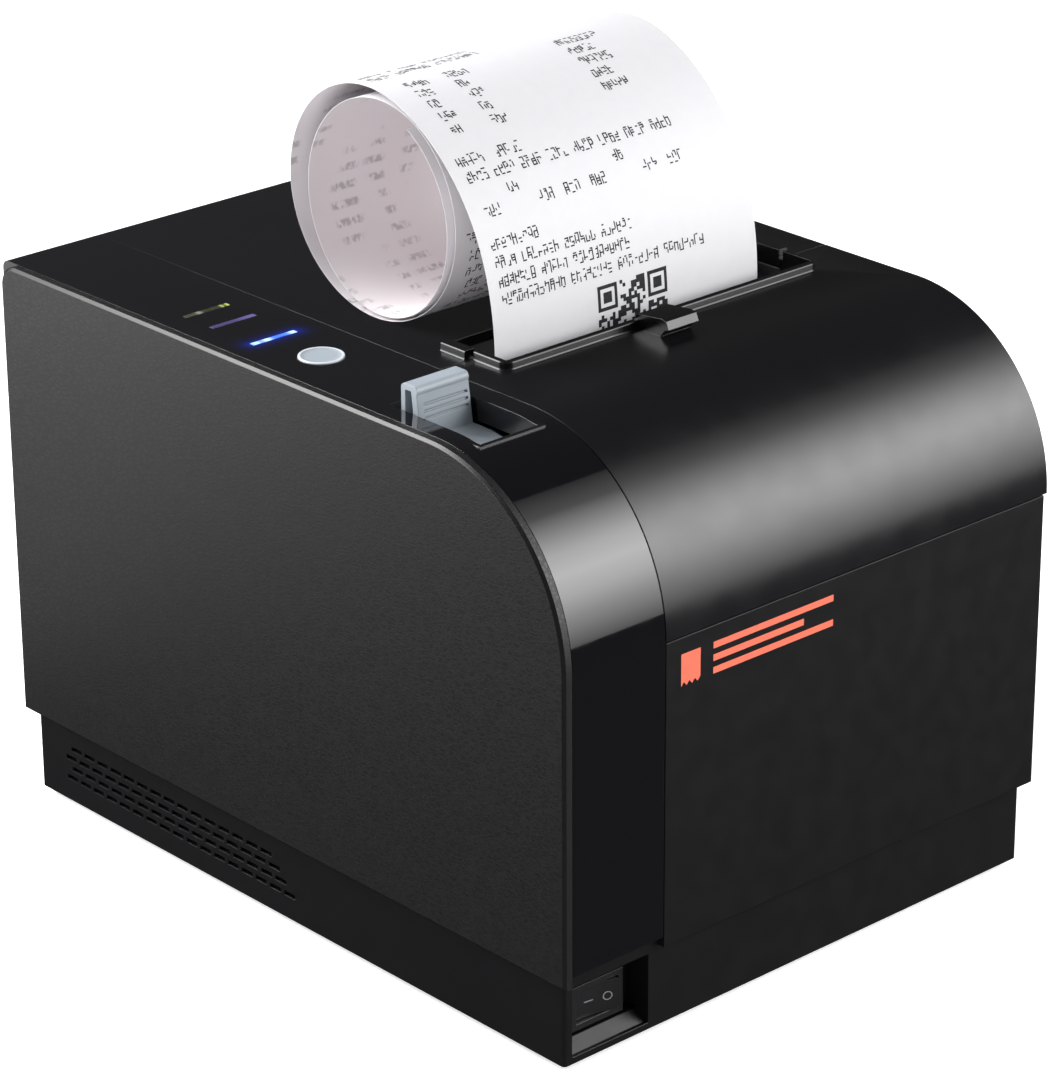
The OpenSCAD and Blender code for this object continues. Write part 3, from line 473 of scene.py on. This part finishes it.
# Lit spots of the light bars: (place along the bar, width, colour, power), as shares of its length
AMBER_SPOTS = [(0.14, 0.16, (0.3, 0.28, 0.22), 0.12), (0.32, 0.06, (0.5, 0.5, 0.42), 0.6),
               (0.85, 0.035, (0.6, 0.65, 0.2), 0.9), (0.97, 0.035, (0.6, 0.7, 0.1), 1.2)]
VIOLET_SPOTS = [(0.9, 0.25, (0.35, 0.26, 0.75), 0.35)]
BLUE_SPOTS = [(0.08, 0.1, (0.5, 0.75, 1.0), 1.4), (0.34, 0.09, (0.6, 0.8, 1.0), 1.6),
              (0.93, 0.09, (0.55, 0.75, 1.0), 1.5)]
FINISHES = {
    "case_matte": lambda s: moulded(s, 0.36),
    "side_texture": leather_plastic,
    "cover_satin": satin_cover,
    "strip_gloss": glossy_strip,
    "inner_plastic": lambda s: moulded(s, 0.45),
    "foot_rubber": rubber,
    "platen_rubber": ground_roller,
    "screw_steel": plated_screws,
    "turned_steel": turned_metal,
    "sheet_steel": sheet_metal,
    "spring_steel": lambda s: turned_metal(s, 0.3),
    "blade_steel": ground_steel,
    "heat_sink_aluminium": extruded_aluminium,
    "head_ceramic": glazed_head,
    "bush_plastic": acetal,
    "gear_plastic": acetal,
    "pinion_brass": machined_brass,
    "motor_can": motor_case,
    "control_grey": satin_grey,
    "switch_black": lambda s: moulded(s, 0.32, grain=0.0002, depth=0.000006),
    "paper": lambda s: coated_paper(s, record_colour(s)),
    "core_card": card,
    "board_green": solder_mask,
    "chip_black": dark_packages,
    "dip_red": lambda s: moulded(s, 0.35),
    "port_metal": stamped_shell,
    "ribbon_film": printed_film,
    "light_amber": lambda s: light_bar(s, "status_light_paper", (0.004, 0.004, 0.003), AMBER_SPOTS),
    "light_violet": lambda s: light_bar(s, "status_light_error", (0.022, 0.016, 0.05), VIOLET_SPOTS),
    "light_blue": lambda s: light_bar(s, "status_light_power", (0.01, 0.05, 0.9), BLUE_SPOTS),
}
paints = {slot: make(slot) for slot, make in FINISHES.items()}
for name, node in frame["nodes"].items():
    node.data.materials.clear()
    node.data.materials.append(paints[SLOT[name]].material)
frame["nodes"]["paper_roll"].data.materials[0] = wound_paper("wound_paper").material


# ---------------------------------------------------------------- mesh tools
def piece(name, points, faces, materials, body, smooth=True, stands_for=()):
    """A mesh piece that rides on a body. A face is its corners, or (corners, material number)."""
    mesh = bpy.data.meshes.new(name)
    plain = [f[0] if isinstance(f[0], (tuple, list)) else f for f in faces]
    mesh.from_pydata([tuple(p) for p in points], [], plain)
    for material in materials:
        mesh.materials.append(material)
    for polygon, face in zip(mesh.polygons, faces):
        polygon.use_smooth = smooth
        if isinstance(face[0], (tuple, list)):
            polygon.material_index = face[1]
    mesh.validate()
    made = bpy.data.objects.new(name, mesh)
    bpy.context.scene.collection.objects.link(made)
    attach(made, body)
    if stands_for:
        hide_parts(*stands_for)
    return made


def tidy_normals(made):
    """Turns every face outwards."""
    cleaned = bmesh.new()
    cleaned.from_mesh(made.data)
    bmesh.ops.recalc_face_normals(cleaned, faces=cleaned.faces)
    cleaned.to_mesh(made.data)
    cleaned.free()


def split_edges(made, angle):
    """Keeps edges sharper than that angle, in degrees, sharp under smooth shading."""
    split = made.modifiers.new("split", "EDGE_SPLIT")
    split.split_angle = math.radians(angle)


def smooth_cad(node):
    """Shades a CAD node's round faces smooth, and keeps its edges sharp."""
    mesh = node.data
    if "custom_normal" in mesh.attributes:
        mesh.attributes.remove(mesh.attributes["custom_normal"])
    for polygon in mesh.polygons:
        polygon.use_smooth = True
    weld = node.modifiers.new("weld", "WELD")
    weld.merge_threshold = 0.000002
    split_edges(node, 30)


for node in frame["nodes"].values():
    smooth_cad(node)


def lofted(rings, closed_ring=True, caps=True):
    """Faces that join equal rings of points, numbered in order, with the two end rings filled."""
    count = len(rings[0])
    faces = []
    last = count if closed_ring else count - 1
    for k in range(len(rings) - 1):
        for i in range(last):
            j = (i + 1) % count
            faces.append((k * count + i, k * count + j, (k + 1) * count + j, (k + 1) * count + i))
    if caps:
        faces.append(tuple(range(count)))
        faces.append(tuple(reversed(range((len(rings) - 1) * count, len(rings) * count))))
    return [p for ring in rings for p in ring], faces


def turned(profile, centre, sides=96):
    """Rings for a lathed piece about Z, from (radius, height) pairs in millimetres."""
    rings = []
    for radius, height in profile:
        rings.append([centre + Vector((radius * math.cos(a), radius * math.sin(a), height)) * MM
                      for a in (math.tau * k / sides for k in range(sides))])
    return lofted(rings)


def wire(path, radius, sides=10):
    """A round wire along a path of points, with flat ends."""
    rings = []
    side = None
    for k, point in enumerate(path):
        ahead = path[min(k + 1, len(path) - 1)] - path[max(k - 1, 0)]
        ahead.normalize()
        if side is None:
            side = ahead.orthogonal().normalized()
        side = (side - ahead * side.dot(ahead)).normalized()
        other = ahead.cross(side)
        rings.append([point + (side * math.cos(a) + other * math.sin(a)) * radius
                      for a in (math.tau * i / sides for i in range(sides))])
    return lofted(rings)


# ---------------------------------------------------------------- the receipt
PAPER_X0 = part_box("receipt")[0].x
PAPER_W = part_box("receipt")[1].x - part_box("receipt")[0].x
# The sheet's thickness, where it starts and how far it runs straight up, in millimetres
SHEET_T = 0.08
SLOT_Y = 64.3
SLOT_Z = 120.9
STRAIGHT = 11.0
STRAIGHT_STEPS = 4
# Radius of the curl, in millimetres, where the sheet has turned by that many degrees
CURL = [(0, 80), (25, 47), (50, 50), (80, 28), (180, 25), (270, 30), (330, 25), (480, 24.5),
        (560, 25.5), (640, 22), (780, 26)]
TURN_END = CURL[-1][0]
TURN_STEP = 2


def curl_radius(turn):
    for (t0, r0), (t1, r1) in zip(CURL, CURL[1:]):
        if turn <= t1:
            return r0 + (r1 - r0) * (turn - t0) / (t1 - t0)
    return CURL[-1][1]


def curl_line():
    """The sheet's middle line from the slot on, as rows of (length so far, y, z, turn in degrees)."""
    rows = [(0.0, SLOT_Y, SLOT_Z, 0.0)]
    for k in range(1, STRAIGHT_STEPS + 1):
        length = STRAIGHT * k / STRAIGHT_STEPS
        rows.append((length, SLOT_Y, SLOT_Z + length, 0.0))
    for turn in range(0, TURN_END, TURN_STEP):
        length, y, z, _ = rows[-1]
        radius = curl_radius(turn + TURN_STEP / 2)
        step = radius * math.radians(TURN_STEP)
        half = math.radians(turn + TURN_STEP / 2)
        rows.append((length + step, y + step * math.sin(half), z + step * math.cos(half),
                     turn + TURN_STEP))
    return rows


sheet_line = curl_line()
sheet_lengths = [row[0] for row in sheet_line]
SHEET_LENGTH = sheet_lengths[-1]


def on_sheet(across, length, lift=0.0):
    """A point of the sheet, in millimetres from its left edge, from the slot and off its middle."""
    length = min(max(length, 0.0), SHEET_LENGTH - 1e-6)
    row = bisect.bisect_right(sheet_lengths, length)
    l0, y0, z0, t0 = sheet_line[row - 1]
    l1, y1, z1, t1 = sheet_line[row]
    share = (length - l0) / (l1 - l0)
    turn = math.radians(t0 + (t1 - t0) * share)
    y = y0 + (y1 - y0) * share - lift * math.cos(turn)
    z = z0 + (z1 - z0) * share + lift * math.sin(turn)
    point = at(0, y, z)
    point.x = PAPER_X0 + across * MM
    return point


def make_receipt():
    """The sheet as a thin closed solid, mapped in metres for the print that shows on its back."""
    columns = 16
    half_t = SHEET_T / 2
    width = PAPER_W / MM
    points, maps, faces = [], [], []
    for side in (1, -1):
        for length in sheet_lengths:
            for k in range(columns + 1):
                points.append(on_sheet(width * k / columns, length, side * half_t))
                maps.append((width * k / columns * MM, length * MM))
    last = len(sheet_lengths) - 1
    one_side = len(points) // 2
    for r in range(last):
        for k in range(columns):
            a = r * (columns + 1) + k
            quad = (a, a + 1, a + columns + 2, a + columns + 1)
            faces.append((quad, 0))
            faces.append((tuple(i + one_side for i in reversed(quad)), 1))
    for r in range(last):
        for k in (0, columns):
            a = r * (columns + 1) + k
            faces.append(((a, a + columns + 1, a + columns + 1 + one_side, a + one_side), 0))
    for start in (0, last * (columns + 1)):
        for k in range(columns):
            a = start + k
            faces.append(((a, a + one_side, a + 1 + one_side, a + 1), 0))
    red, green, blue = record_colour("paper")
    front = coated_paper("receipt_front", (red * 0.84, green * 0.83, blue * 0.84))
    back = coated_paper("receipt_back", (red * 0.95, green * 0.89, blue * 0.89), ghost=0.85)
    made = piece("receipt_sheet", points, faces, [front.material, back.material], "roll_cover",
                 stands_for=["receipt"])
    layer = made.data.uv_layers.new(name="sheet")
    for loop in made.data.loops:
        layer.data[loop.index].uv = maps[loop.vertex_index]
    tidy_normals(made)
    split_edges(made, 40)
    made.visible_glossy = False


# The print, in millimetres: a character cell, a stroke, the lines' spacing and left margin
CHAR_W = 1.55
CHAR_H = 2.7
STROKE = 0.32
LINE = 4.1
MARGIN = 3.1
INK_LIFT = 0.07


class Print:
    """Thermal print as greeking: word-like rows of random broken strokes that spell nothing."""

    def __init__(self, seed):
        self.random = random.Random(seed)
        self.points = []
        self.faces = []

    def patch(self, across, length, width, height):
        start = len(self.points)
        for u, s in ((0, 0), (1, 0), (1, 1), (0, 1)):
            self.points.append(on_sheet(across + u * width, length + s * height, INK_LIFT))
        self.faces.append((start, start + 1, start + 2, start + 3))

    def mark(self, across, length):
        """One character cell: broken strokes, two upright and up to three level."""
        for side in (0.0, 0.62):
            start = self.random.choice((0.0, 0.15, 0.4, 0.55))
            stop = self.random.choice((0.45, 0.6, 0.85, 1.0))
            if stop > start + 0.15:
                self.patch(across + side * CHAR_W, length + start * CHAR_H,
                           STROKE, (stop - start) * CHAR_H)
        for level in self.random.sample((0.0, 0.3, 0.5, 0.72, 0.9), self.random.randint(1, 3)):
            start = self.random.choice((0.0, 0.12, 0.3))
            self.patch(across + start * CHAR_W, length + level * CHAR_H,
                       (0.72 - start) * CHAR_W, STROKE)

    def word(self, across, length, count):
        for k in range(count):
            self.mark(across + k * CHAR_W, length)

    def row(self, length, start, counts, gap=1):
        """Words of those lengths from start on, a gap of so many cells apart."""
        across = start
        for count in counts:
            self.word(across, length, count)
            across += (count + gap) * CHAR_W

    def block(self, across, length, cells, size):
        """A square block of random cells with three framed corners."""
        cell = size / cells
        corners = [(0, 0), (0, cells - 7), (cells - 7, cells - 7)]
        for column in range(cells):
            for row in range(cells):
                filled = self.random.random() < 0.5
                for c0, r0 in corners:
                    c, r = column - c0, row - r0
                    if -1 <= c <= 7 and -1 <= r <= 7:
                        ring = max(abs(c - 3), abs(r - 3))
                        filled = ring in (0, 1, 3)
                if filled:
                    self.patch(across + column * cell, length + row * cell, cell, cell)


def make_print():
    """The marks on the receipt, from the slot up and on round the curl."""
    ink = Print(7)
    ink.block(30.5, 0.0, 25, 20.9)
    ink.row(23.2, 3.3, [12, 8, 8, 8])
    ink.row(27.2, MARGIN, [7, 5, 11])
    ink.row(31.3, MARGIN, [4, 7, 6, 6])
    ink.row(35.4, MARGIN, [9])
    first_label = 3.6
    label_pitch = 5 * CHAR_W
    labels = ((42.4, (0, 2, 3, 4, 6, 7), 3), (46.4, (1, 5), 2), (50.6, range(8), 4))
    for length, columns, count in labels:
        for column in columns:
            ink.word(first_label + column * label_pitch + (4 - count) * CHAR_W / 2, length, count)
    ink.row(54.6, MARGIN, [5, 5], gap=2)
    for k, length in enumerate((62.2, 66.4, 70.5, 74.6, 78.7)):
        for start in (7, 18.5):
            ink.word(start, length, 4 if k == 4 else 2 + (k + (start > 7)) % 2)
    for length, count in ((62.8, 5), (67, 4), (71.2, 6), (75.4, 5), (79.6, 8)):
        ink.word(52, length, count)
    for k in range(4):
        ink.row(86.2 + LINE * k, MARGIN, [4, 6, 8])
    ink.row(95, 52, [2, 3])
    length = 106
    while length < SHEET_LENGTH - 22:
        counts = [ink.random.randint(2, 8) for _ in range(ink.random.randint(2, 5))]
        ink.row(length, MARGIN + CHAR_W * ink.random.randint(0, 2), counts)
        length += LINE if ink.random.random() < 0.85 else 2 * LINE
    paint = Paint("thermal_ink", (0.013, 0.013, 0.016), 0.6, specular=0.2)
    paint.shade(paint.noise(0.0004, 3.0), 0.6, 2.2)
    paint.put("Roughness", paint.span(paint.noise(0.001, 2.0), 0.3, 0.7, 0.5, 0.7))
    made = piece("receipt_print", ink.points, ink.faces, [paint.material], "roll_cover", smooth=False)
    made.visible_glossy = False


make_receipt()
make_print()


# ---------------------------------------------------------------- left side panel
# The side's outline and its bevel, in millimetres
CASE_H = 132.0
ARC_R = 41.2
ARC_Z = CASE_H - ARC_R
PANEL_LOW = 19.6
PANEL_REAR = 190.0
PANEL_T = 2.3
REAR_R = 5.0
ARC_STEPS = 36
CORNER_STEPS = 8
CHAMFER = 0.62
SOFTEN = 0.12


def panel_ring(inset, x):
    """The side outline shrunk by inset: front, curved front edge, top, rounded rear corner, back."""
    ring = [at(x, inset, PANEL_LOW + inset)]
    for k in range(ARC_STEPS + 1):
        a = math.radians(90 * k / ARC_STEPS)
        ring.append(at(x, ARC_R - (ARC_R - inset) * math.cos(a),
                       ARC_Z + (ARC_R - inset) * math.sin(a)))
    rear_r = max(REAR_R - inset, 0.5)
    for k in range(CORNER_STEPS + 1):
        a = math.radians(90 * k / CORNER_STEPS)
        ring.append(at(x, PANEL_REAR - inset - rear_r + rear_r * math.sin(a),
                       CASE_H - inset - rear_r + rear_r * math.cos(a)))
    ring.append(at(x, PANEL_REAR - inset, PANEL_LOW + inset))
    return ring


def make_side_panel():
    """The panel with a bevel, soft at its two corners, along its outer edge."""
    section = [(CHAMFER + SOFTEN * 1.2, 0.0), (CHAMFER + SOFTEN * 0.3, SOFTEN * 0.2),
               (CHAMFER - SOFTEN * 0.5, SOFTEN * 0.9), (SOFTEN * 0.9, CHAMFER - SOFTEN * 0.5),
               (SOFTEN * 0.2, CHAMFER + SOFTEN * 0.3), (0.0, CHAMFER + SOFTEN * 1.2), (0.0, PANEL_T)]
    rings = [panel_ring(inset, x) for inset, x in section]
    points, faces = lofted(rings)
    bevel_from = at(CHAMFER * 0.1, 0, 0).x
    bevel_to = at(CHAMFER + SOFTEN * 1.3, 0, 0).x
    kinds = []
    for face in faces:
        middle_x = sum(points[i].x for i in face) / len(face)
        kinds.append((face, 1 if bevel_from < middle_x < bevel_to else 0))
    made = piece("left_side_shell", points, kinds,
                 [paints["side_texture"].material, panel_edge("side_texture").material], "case",
                 stands_for=["left_side_panel"])
    tidy_normals(made)
    split_edges(made, 35)
    weighted = made.modifiers.new("flats", "WEIGHTED_NORMAL")
    weighted.keep_sharp = True


make_side_panel()


# ---------------------------------------------------------------- small parts
def make_button():
    """The feed button: a flat face inside a fine rim painted pale as a highlight, over a flange that
    keeps it in.
    """
    low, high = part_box("feed_button")
    centre = Vector(((low.x + high.x) / 2, (low.y + high.y) / 2, 0))
    top = high.z / MM
    foot = low.z / MM
    profile = [(6.2, foot), (6.4, foot + 0.2), (6.4, foot + 1.4), (6.2, foot + 1.6), (5.15, foot + 1.6),
               (5.15, top - 0.25), (5.1, top - 0.08), (4.98, top), (4.62, top), (4.52, top - 0.04),
               (4.45, top - 0.1), (3.2, top - 0.1), (1.4, top - 0.11), (0.4, top - 0.11)]
    points, faces = turned(profile, centre)
    # The rim's pale grey is a painted highlight.
    rim = Paint("button_rim_painted_highlight", (0.6, 0.64, 0.68), 0.3)
    rim.bump(rim.noise(0.0004, 2.0), 0.000006)
    rim.shade(rim.noise(0.002, 3.0), 0.95, 1.03)
    inner = 4.53 * MM
    kinds = []
    for face in faces:
        distance = sum((points[i] - centre).xy.length for i in face) / len(face)
        height = sum(points[i].z for i in face) / len(face)
        kinds.append((face, 1 if distance > inner and height > (top - 0.3) * MM else 0))
    made = piece("feed_button_cap", points, kinds, [paints["control_grey"].material, rim.material],
                 "feed_button", stands_for=["feed_button"])
    tidy_normals(made)
    split_edges(made, 50)


def coil_points(centre, axis, radius, length, turns, closed_turns=1.0):
    """A helix about an axis through centre, wound close at its two ends."""
    side = axis.orthogonal().normalized()
    other = axis.cross(side)
    steps = int(turns * 24)
    points = []
    for k in range(steps + 1):
        turn = turns * k / steps
        free = min(max(turn - closed_turns, 0.0), turns - 2 * closed_turns) / (turns - 2 * closed_turns)
        closed = min(turn, closed_turns) + max(turn - turns + closed_turns, 0.0)
        wire_pitch = 0.08 * length / closed_turns
        along = closed * wire_pitch + free * (length - 2 * closed_turns * wire_pitch)
        a = math.tau * turn
        points.append(centre + axis * along + (side * math.cos(a) + other * math.sin(a)) * radius)
    return points


def make_springs():
    """The head's two pressure springs and the lever's torsion spring, as wound wire."""
    low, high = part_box("head_springs")
    wire_r = 0.35 * MM
    coil_r = (high.z - low.z) / 2 - wire_r
    points, faces = [], []
    for x in (low.x + coil_r + wire_r, high.x - coil_r - wire_r):
        start = Vector((x, low.y + wire_r, (low.z + high.z) / 2))
        line = coil_points(start, Vector((0, 1, 0)), coil_r, high.y - low.y - 2 * wire_r, 7)
        more, more_faces = wire(line, wire_r)
        faces += [tuple(i + len(points) for i in face) for face in more_faces]
        points += more
    made = piece("head_spring_coils", points, faces, [paints["spring_steel"].material], "case",
                 stands_for=["head_springs"])
    tidy_normals(made)
    low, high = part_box("lever_spring")
    wire_r = 0.45 * MM
    start = Vector((low.x + wire_r, (low.y + high.y) / 2, (low.z + high.z) / 2))
    coil_r = (high.z - low.z) / 2 - wire_r
    line = coil_points(start, Vector((1, 0, 0)), coil_r, high.x - low.x - 2 * wire_r, 5)
    points, faces = wire(line, wire_r)
    made = piece("lever_spring_coil", points, faces, [paints["spring_steel"].material], "case",
                 stands_for=["lever_spring"])
    tidy_normals(made)


# The pictogram's lower left corner and height, its bars and its depth in front of the panel
EMBLEM_X = 33.2
EMBLEM_Z = 79.6
EMBLEM_H = 7.4
BAR_LENGTHS = (36.0, 27.0, 36.0)
BAR_H = 1.5
BAR_PITCH = 2.9


def make_emblem():
    """A plain orange pictogram of a receipt and bars, on the front panel."""
    paint = Paint("emblem_orange", (0.72, 0.13, 0.07), 0.45)
    paint.shade(paint.noise(0.002, 4.0), 0.93, 1.05)
    paint.bump(paint.noise(0.0004, 3.0), 0.00001)
    points, faces = [], []

    def plate(outline):
        start = len(points)
        for y in (-0.06, 0.02):
            points.extend(at(x, y, z) for x, z in outline)
        count = len(outline)
        faces.append(tuple(start + k for k in range(count)))
        faces.append(tuple(start + count + k for k in reversed(range(count))))
        for k in range(count):
            j = (k + 1) % count
            faces.append((start + k, start + j, start + count + j, start + count + k))

    top = EMBLEM_Z + EMBLEM_H
    teeth = [(EMBLEM_X + k * 0.8, EMBLEM_Z + (0.9 if k % 2 else 0.0)) for k in range(8)]
    plate(teeth + [(EMBLEM_X + 5.6, top), (EMBLEM_X, top)])
    x = EMBLEM_X + 9.4
    for k, length in enumerate(BAR_LENGTHS):
        z = top - BAR_H - k * BAR_PITCH
        plate([(x, z), (x + length, z), (x + length, z + BAR_H), (x, z + BAR_H)])
    made = piece("front_emblem", points, faces, [paint.material], "case", smooth=False)
    tidy_normals(made)


def make_rocker_marks():
    """The bar and the ring printed on the rocker's two faces, in light grey."""
    paint = Paint("mark_grey", (0.16, 0.165, 0.175), 0.5)
    paint.shade(paint.noise(0.001, 3.0), 0.9, 1.1)
    lift = 0.05 * MM
    pivot = at(15.05, 8, 9.85)
    tilt = Matrix.Rotation(math.radians(-10), 4, "Z")

    def on_face(x, z):
        """A point on the rocker's front, from the pivot, before it is tipped."""
        slope = -1.3 - abs(x) * 0.054 if abs(x) < 2.8 else -1.45 - (abs(x) - 2.8) * 0.196
        return pivot + tilt @ Vector((x * MM, slope * MM - lift, z * MM))

    bar = [(-2.7, -0.16), (-0.4, -0.16), (-0.4, 0.16), (-2.7, 0.16)]
    points = [on_face(x, z) for x, z in bar]
    start = len(points)
    faces = [tuple(range(start))]
    sides = 32
    for radius in (1.0, 0.76):
        for k in range(sides):
            a = math.tau * k / sides
            points.append(on_face(3.2 + radius * math.cos(a) * 1.15, radius * math.sin(a) * 1.05))
    for k in range(sides):
        j = (k + 1) % sides
        faces.append((start + k, start + j, start + sides + j, start + sides + k))
    piece("rocker_marks", points, faces, [paint.material], "rocker", smooth=False)


make_button()
make_springs()
make_emblem()
make_rocker_marks()


# ---------------------------------------------------------------- stage
def stage_mesh(name, points, faces, material):
    mesh = bpy.data.meshes.new(name)
    mesh.from_pydata([tuple(p) for p in points], [], faces)
    mesh.materials.append(material)
    made = bpy.data.objects.new(name, mesh)
    bpy.context.scene.collection.objects.link(made)
    return made


def make_floor():
    """A plain pale floor that reflections don't show."""
    paint = Paint("pale_floor", (0.9, 0.9, 0.9), 0.9, specular=0.0)
    paint.put("Emission Color", (1, 1, 1, 1))
    paint.put("Emission Strength", 0.6)
    size = 4.0
    signs = ((-1, -1), (1, -1), (1, 1), (-1, 1))
    corners = [(size * x, size * y, GROUND) for x, y in signs]
    floor = stage_mesh("floor", corners, [(0, 1, 2, 3)], paint.material)
    floor.visible_glossy = False


# Radiance of the front light against its height angle, from low in front to overhead
FRONT_LIGHT = [(-12, 1.3), (-6, 2.2), (6, 4.2), (18, 6.8), (30, 8.4), (42, 6.8), (54, 3.8),
               (66, 1.1), (80, 0.3)]
# Its distance, where it starts to the right and how wide it is, in metres
LIGHT_R = 0.9
LIGHT_X = 0.15
LIGHT_W = 1.2
# Radiance of the card behind on the left against its height, in millimetres
SIDE_CARD = [(-2, 0.65), (40, 0.75), (75, 1.1), (130, 1.8), (190, 5.0), (260, 12.0), (420, 16.0)]
# The share of that radiance at places across the card
CARD_SHARES = [(-10, 0.0), (-30, 1.0), (-300, 1.0), (-420, 0.0)]


def glowing_sheet(name, rows):
    """A lit sheet that the camera doesn't see, from equal rows of (point, radiance)."""
    material = bpy.data.materials.new(name)
    material.use_nodes = True
    tree = material.node_tree
    tree.nodes.clear()
    shine = tree.nodes.new("ShaderNodeEmission")
    level = tree.nodes.new("ShaderNodeAttribute")
    level.attribute_name = "level"
    output = tree.nodes.new("ShaderNodeOutputMaterial")
    tree.links.new(level.outputs["Fac"], shine.inputs["Strength"])
    tree.links.new(shine.outputs[0], output.inputs["Surface"])
    lines = [[point for point, _ in row] for row in rows]
    points, faces = lofted(lines, closed_ring=False, caps=False)
    light = stage_mesh(name, points, faces, material)
    attribute = light.data.attributes.new("level", "FLOAT", "POINT")
    attribute.data.foreach_set("value", [radiance for row in rows for _, radiance in row])
    light.visible_camera = False
    light.visible_shadow = False
    return light


def make_front_light():
    """A large curved soft light in front, brightest where the curved cover mirrors it."""
    centre = at(73.5, ARC_R, ARC_Z)
    columns = 12
    rows = []
    for angle, radiance in FRONT_LIGHT:
        a = math.radians(angle)
        row = []
        for k in range(columns + 1):
            share = k / columns
            edge = min(1.0, 5 * share, 5 * (1 - share))
            place = centre + Vector((LIGHT_X + LIGHT_W * share, -LIGHT_R * math.cos(a),
                                     LIGHT_R * math.sin(a)))
            row.append((place, radiance * edge * edge * (3 - 2 * edge)))
        rows.append(row)
    glowing_sheet("front_light", rows)


def make_side_card():
    """A card behind on the left that only reflections show: the side's sheen and its lit bevel."""
    rows = []
    for height, radiance in SIDE_CARD:
        rows.append([(at(x, 255, height), radiance * share) for x, share in CARD_SHARES])
    reflector = glowing_sheet("side_card", rows)
    reflector.visible_diffuse = False


def area_light(name, place, target, size, power):
    """A round soft light that neither the camera nor reflections see."""
    data = bpy.data.lights.new(name, "AREA")
    data.shape = "DISK"
    data.size = size
    data.energy = power
    made = bpy.data.objects.new(name, data)
    bpy.context.scene.collection.objects.link(made)
    made.visible_camera = False
    made.visible_glossy = False
    made.location = place
    made.rotation_mode = "QUATERNION"
    made.rotation_quaternion = (target - place).to_track_quat("-Z", "Y")


# Strength of the plain white world to each kind of ray
WORLD_CAMERA = 1.0
WORLD_DIFFUSE = 0.45
WORLD_OTHER = 0.06


def make_world():
    """Plain white to the camera, a soft fill for matte surfaces, and dark in reflections."""
    world = bpy.data.worlds.new("studio")
    world.use_nodes = True
    tree = world.node_tree
    background = tree.nodes["Background"]
    background.inputs["Color"].default_value = (1, 1, 1, 1)
    ray = tree.nodes.new("ShaderNodeLightPath")
    level = None
    for kind, share in (("Is Diffuse Ray", WORLD_DIFFUSE), ("Is Camera Ray", WORLD_CAMERA)):
        mix = tree.nodes.new("ShaderNodeMapRange")
        tree.links.new(ray.outputs[kind], mix.inputs["Value"])
        mix.inputs["To Max"].default_value = share
        if level is None:
            mix.inputs["To Min"].default_value = WORLD_OTHER
        else:
            tree.links.new(level, mix.inputs["To Min"])
        level = mix.outputs[0]
    tree.links.new(level, background.inputs["Strength"])
    bpy.context.scene.world = world


# The camera's turn in degrees, its place in millimetres from the case's corner, and its lens
AZIMUTH = -42.16
ELEVATION = 23.09
ROLL = -0.34
CAMERA_PLACE = (-542.7, -587.9, 464.6)
LENS = 146.3


def make_camera():
    """The photograph's view: from the left, the front and above, with a long lens."""
    azimuth, elevation, roll = (math.radians(a) for a in (AZIMUTH, ELEVATION, ROLL))
    data = bpy.data.cameras.new("camera")
    data.lens = LENS
    camera = bpy.data.objects.new("camera", data)
    bpy.context.scene.collection.objects.link(camera)
    camera.location = at(*CAMERA_PLACE)
    back = Vector((math.sin(azimuth) * math.cos(elevation), -math.cos(azimuth) * math.cos(elevation),
                   math.sin(elevation)))
    right = Vector((math.cos(azimuth), math.sin(azimuth), 0))
    up = back.cross(right)
    rolled_right = right * math.cos(roll) + up * math.sin(roll)
    rolled_up = up * math.cos(roll) - right * math.sin(roll)
    turn = Matrix((rolled_right, rolled_up, back)).transposed()
    camera.rotation_mode = "QUATERNION"
    camera.rotation_quaternion = turn.to_quaternion()
    data.clip_start = 0.01
    data.clip_end = 50
    bpy.context.scene.camera = camera


make_floor()
make_front_light()
make_side_card()
area_light("left_fill", at(-190, 400, 350), at(0, 110, 110), 0.4, 4.9)
make_world()
make_camera()
bpy.context.scene.view_settings.view_transform = "Standard"
